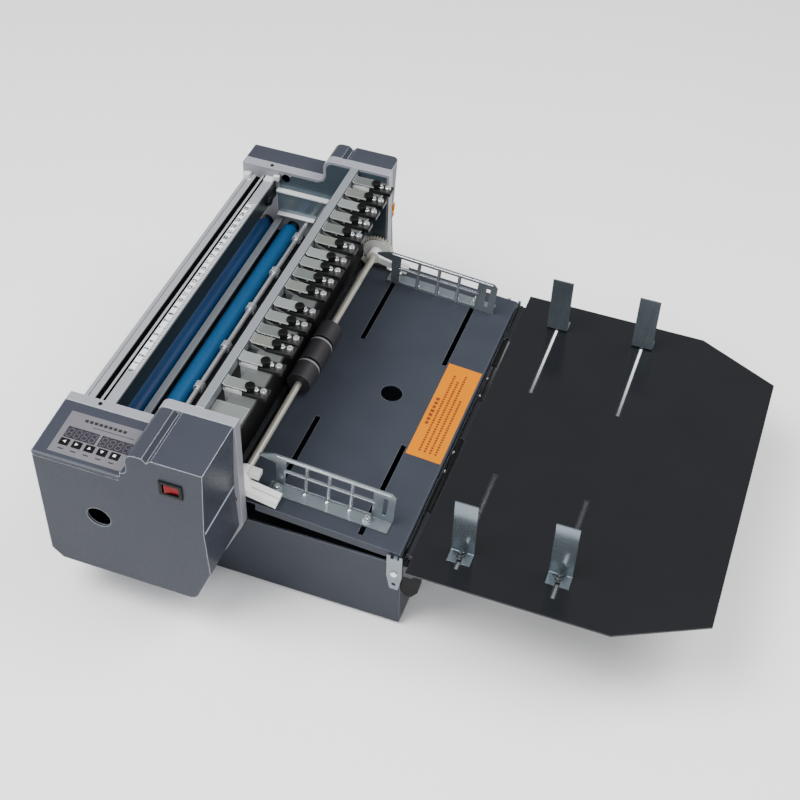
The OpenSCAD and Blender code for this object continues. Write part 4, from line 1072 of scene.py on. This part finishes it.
for n, x in enumerate(display_x):
    glass = Form()
    half = [size - glass_gap for size in display_half]
    glass.block((x - half[0], x + half[0]), (display_v - half[1], display_v + half[1]), glass_w, PANEL)
    glass.piece("display_glass_%d" % (n + 1), display_glass, "frame", bevel=0.15, segments=1,
                slot="black_plastic")
    digits = Form()
    for i in range(digit_count):
        digit(digits, x + digit_start + digit_pitch * i, display_v)
    digits.piece("display_digits_%d" % (n + 1), segment_grey, "frame", slot="white_plastic")

MARKS = [
    [(1.6, -1.5), (1.6, 1.5), (-1.4, 0.0)],
    [(-1.4, -1.5), (1.6, 0.0), (-1.4, 1.5)],
    [(-1.6, -1.2), (1.6, -1.2), (0.0, 1.5)],
    [(-1.6, 1.2), (0.0, -1.5), (1.6, 1.2)],
    [(-1.3, -1.3), (1.3, -1.3), (1.3, 1.3), (-1.3, 1.3)],
]
mark_w = (button_up - 0.05, button_up + 0.06)
for i, mark in enumerate(MARKS):
    sign = Form()
    sign.prism(mark, *mark_w, PANEL @ at(button_x + i * button_pitch, button_v, 0))
    sign.piece("button_mark_%d" % (i + 1), white_print, "button_%d" % (i + 1), slot="white_plastic")


# Ruler strip on the rear profile: divisions and plain numbers
ruler_x = (x_rear + 27.8, x_rear + 36.6)
ruler_y = (-110.0, 152.0)
ruler_z = 179.0
ruler_t = 0.25
first_mark = ruler_y[0] + 1.0
mark_step = 2.0
mark_count = int((ruler_y[1] - ruler_y[0]) / mark_step)
mark_half = 0.5
mark_end = ruler_x[1] - 0.3
mark_z = (ruler_z + 0.24, ruler_z + 0.3)
long_mark = 3.8
short_mark = 2.6
marks_per_number = 5
number_x = ruler_x[1] - 4.2
number_z = ruler_z + 0.29
number_size = 5.6
number_weight = 0.3
strip = Form()
strip.block(ruler_x, ruler_y, (ruler_z, ruler_z + ruler_t))
strip.piece("ruler_strip", ruler_film, "frame", bevel=0.08, segments=1, slot="white_plastic")
marks = Form()
for i in range(mark_count):
    y = first_mark + i * mark_step
    length = short_mark if i % marks_per_number else long_mark
    marks.block((mark_end - length, mark_end), (y - mark_half, y + mark_half), mark_z)


def numeral(text, place):
    """Mesh of a plain number, lying flat and read along Y."""
    curve = bpy.data.curves.new("numeral", "FONT")
    curve.body = text
    curve.size = number_size * MM
    curve.offset = number_weight * MM
    curve.align_x = "CENTER"
    holder = bpy.data.objects.new("numeral", curve)
    bpy.context.scene.collection.objects.link(holder)
    graph = bpy.context.evaluated_depsgraph_get()
    mesh = bpy.data.meshes.new_from_object(holder.evaluated_get(graph), depsgraph=graph)
    mesh.transform(Matrix.Translation(Vector(place) * MM) @ turned(math.radians(90)))
    bpy.data.objects.remove(holder)
    bpy.data.curves.remove(curve)
    return mesh


for i in range(0, mark_count, marks_per_number):
    mesh = numeral(str(i // marks_per_number), (number_x, first_mark + i * mark_step, number_z))
    marks.bm.from_mesh(mesh)
    bpy.data.meshes.remove(mesh)
marks.piece("ruler_marks", dark_print, "frame", slot="black_plastic")


# Plain orange sticker on the feed table, with rows of dashes in place of its print
sticker_u = (-32.5, 1.6)
sticker_y = (-46.0, 81.5)
sticker_t = 0.18
sticker_margin = 8.0
ROWS = ((-27.0, 0.34), (-21.8, 0.86), (-16.6, 0.8), (-11.4, 0.88), (-6.2, 0.62))
title_thick = 1.9
row_thick = 1.15
dash_pitch = 1.45
# Shares of a row's thickness that its dashes take in turn
DASH_SHARES = [0.8 + 0.2 * n / 3 for n in range(4)]
dash_z = (table_rise + 0.16, table_rise + 0.22)
sticker = Form()
sticker.block(sticker_u, sticker_y, (table_rise, table_rise + sticker_t), TABLE)
sticker.piece("table_sticker", orange_film, "feed_table", bevel=0.06, segments=1, slot="table_paint")
dashes = Form()
for row, (u, share) in enumerate(ROWS):
    length = (sticker_y[1] - sticker_y[0]) * share
    start = sticker_y[0] + sticker_margin if row else (sticker_y[0] + sticker_y[1] - length) / 2
    thick = row_thick if row else title_thick
    dash = 2 * thick
    pitch = dash_pitch * dash
    for n in range(int(length / pitch)):
        y0 = start + n * pitch
        half = thick * DASH_SHARES[(n + row * 3) % 4]
        dashes.block((u - half, u + half), (y0, y0 + dash), dash_z, TABLE)
dashes.piece("table_sticker_bars", orange_print, "feed_table", slot="table_paint")


# Two small plain labels on the front face of the far cover, which leans back towards its foot
face_top = (x_head - 1.0, high_z)
face_low = (x_head - 5.0, low_z - 49.0)
face_lean = (face_top[0] - face_low[0]) / (face_top[1] - face_low[1])
patch_t = 0.2


def far_patch(name, material, back, span_z):
    y0, y1 = y_back - back[0], y_back - back[1]
    outline = [(y0, span_z[0]), (y1, span_z[0]), (y1, span_z[1]), (y0, span_z[1])]
    patch = Form()
    patch.shell([[(face_low[0] + face_lean * (z - face_low[1]) + lift, y, z) for y, z in outline]
                 for lift in (0.0, patch_t)])
    patch.piece(name, material, "frame", slot="cover_paint")


far_patch("far_label_orange", orange_film, back=(10.0, 1.6), span_z=(150.0, 161.0))
far_patch("far_label_red", red_print, back=(9.0, 2.0), span_z=(143.5, 148.5))


# Floor, lights and camera
floor_half = 4000
floor_z = (-20, -0.05)
floor = Form()
floor.block((-floor_half, floor_half), (-floor_half, floor_half), floor_z)
ground = new_object("floor", floor.bm)
ground.data.materials.append(floor_paint)

world = bpy.context.scene.world or bpy.data.worlds.new("studio")
bpy.context.scene.world = world
world.use_nodes = True
backdrop = world.node_tree.nodes["Background"]
backdrop.inputs["Color"].default_value = (0.95, 0.97, 1.0, 1.0)
backdrop.inputs["Strength"].default_value = 0.5

# Places and sizes of lights and camera are in metres
light_aim = Vector((0, 0, 0.1))


def soft_light(name, place, size, power):
    data = bpy.data.lights.new(name, "AREA")
    data.shape = "RECTANGLE"
    data.size, data.size_y = size
    data.energy = power
    obj = bpy.data.objects.new(name, data)
    obj.location = place
    obj.rotation_euler = (light_aim - Vector(place)).to_track_quat("-Z", "Y").to_euler()
    bpy.context.scene.collection.objects.link(obj)


soft_light("key", place=(-0.8, -0.6, 1.9), size=(1.4, 1.2), power=66)
soft_light("side", place=(1.1, 0.5, 2.0), size=(1.2, 1.4), power=44)
soft_light("front", place=(0.4, -1.5, 1.3), size=(0.9, 0.4), power=12)

camera_data = bpy.data.cameras.new("camera")
camera_data.sensor_width = 36.0
camera_data.lens = 64.4
camera_data.clip_start = 0.01
camera = bpy.data.objects.new("camera", camera_data)
right = Vector((0.9397834, 0.34076722, 0.02616982))
up = Vector((-0.26035635, 0.66420773, 0.70074436))
back = Vector((0.22140851, -0.6653614, 0.71293231))
spot = Vector((0.25756, -0.89381, 1.0760))
camera.matrix_world = Matrix((
    (right.x, up.x, back.x, spot.x),
    (right.y, up.y, back.y, spot.y),
    (right.z, up.z, back.z, spot.z),
    (0, 0, 0, 1),
))
bpy.context.scene.collection.objects.link(camera)
bpy.context.scene.camera = camera
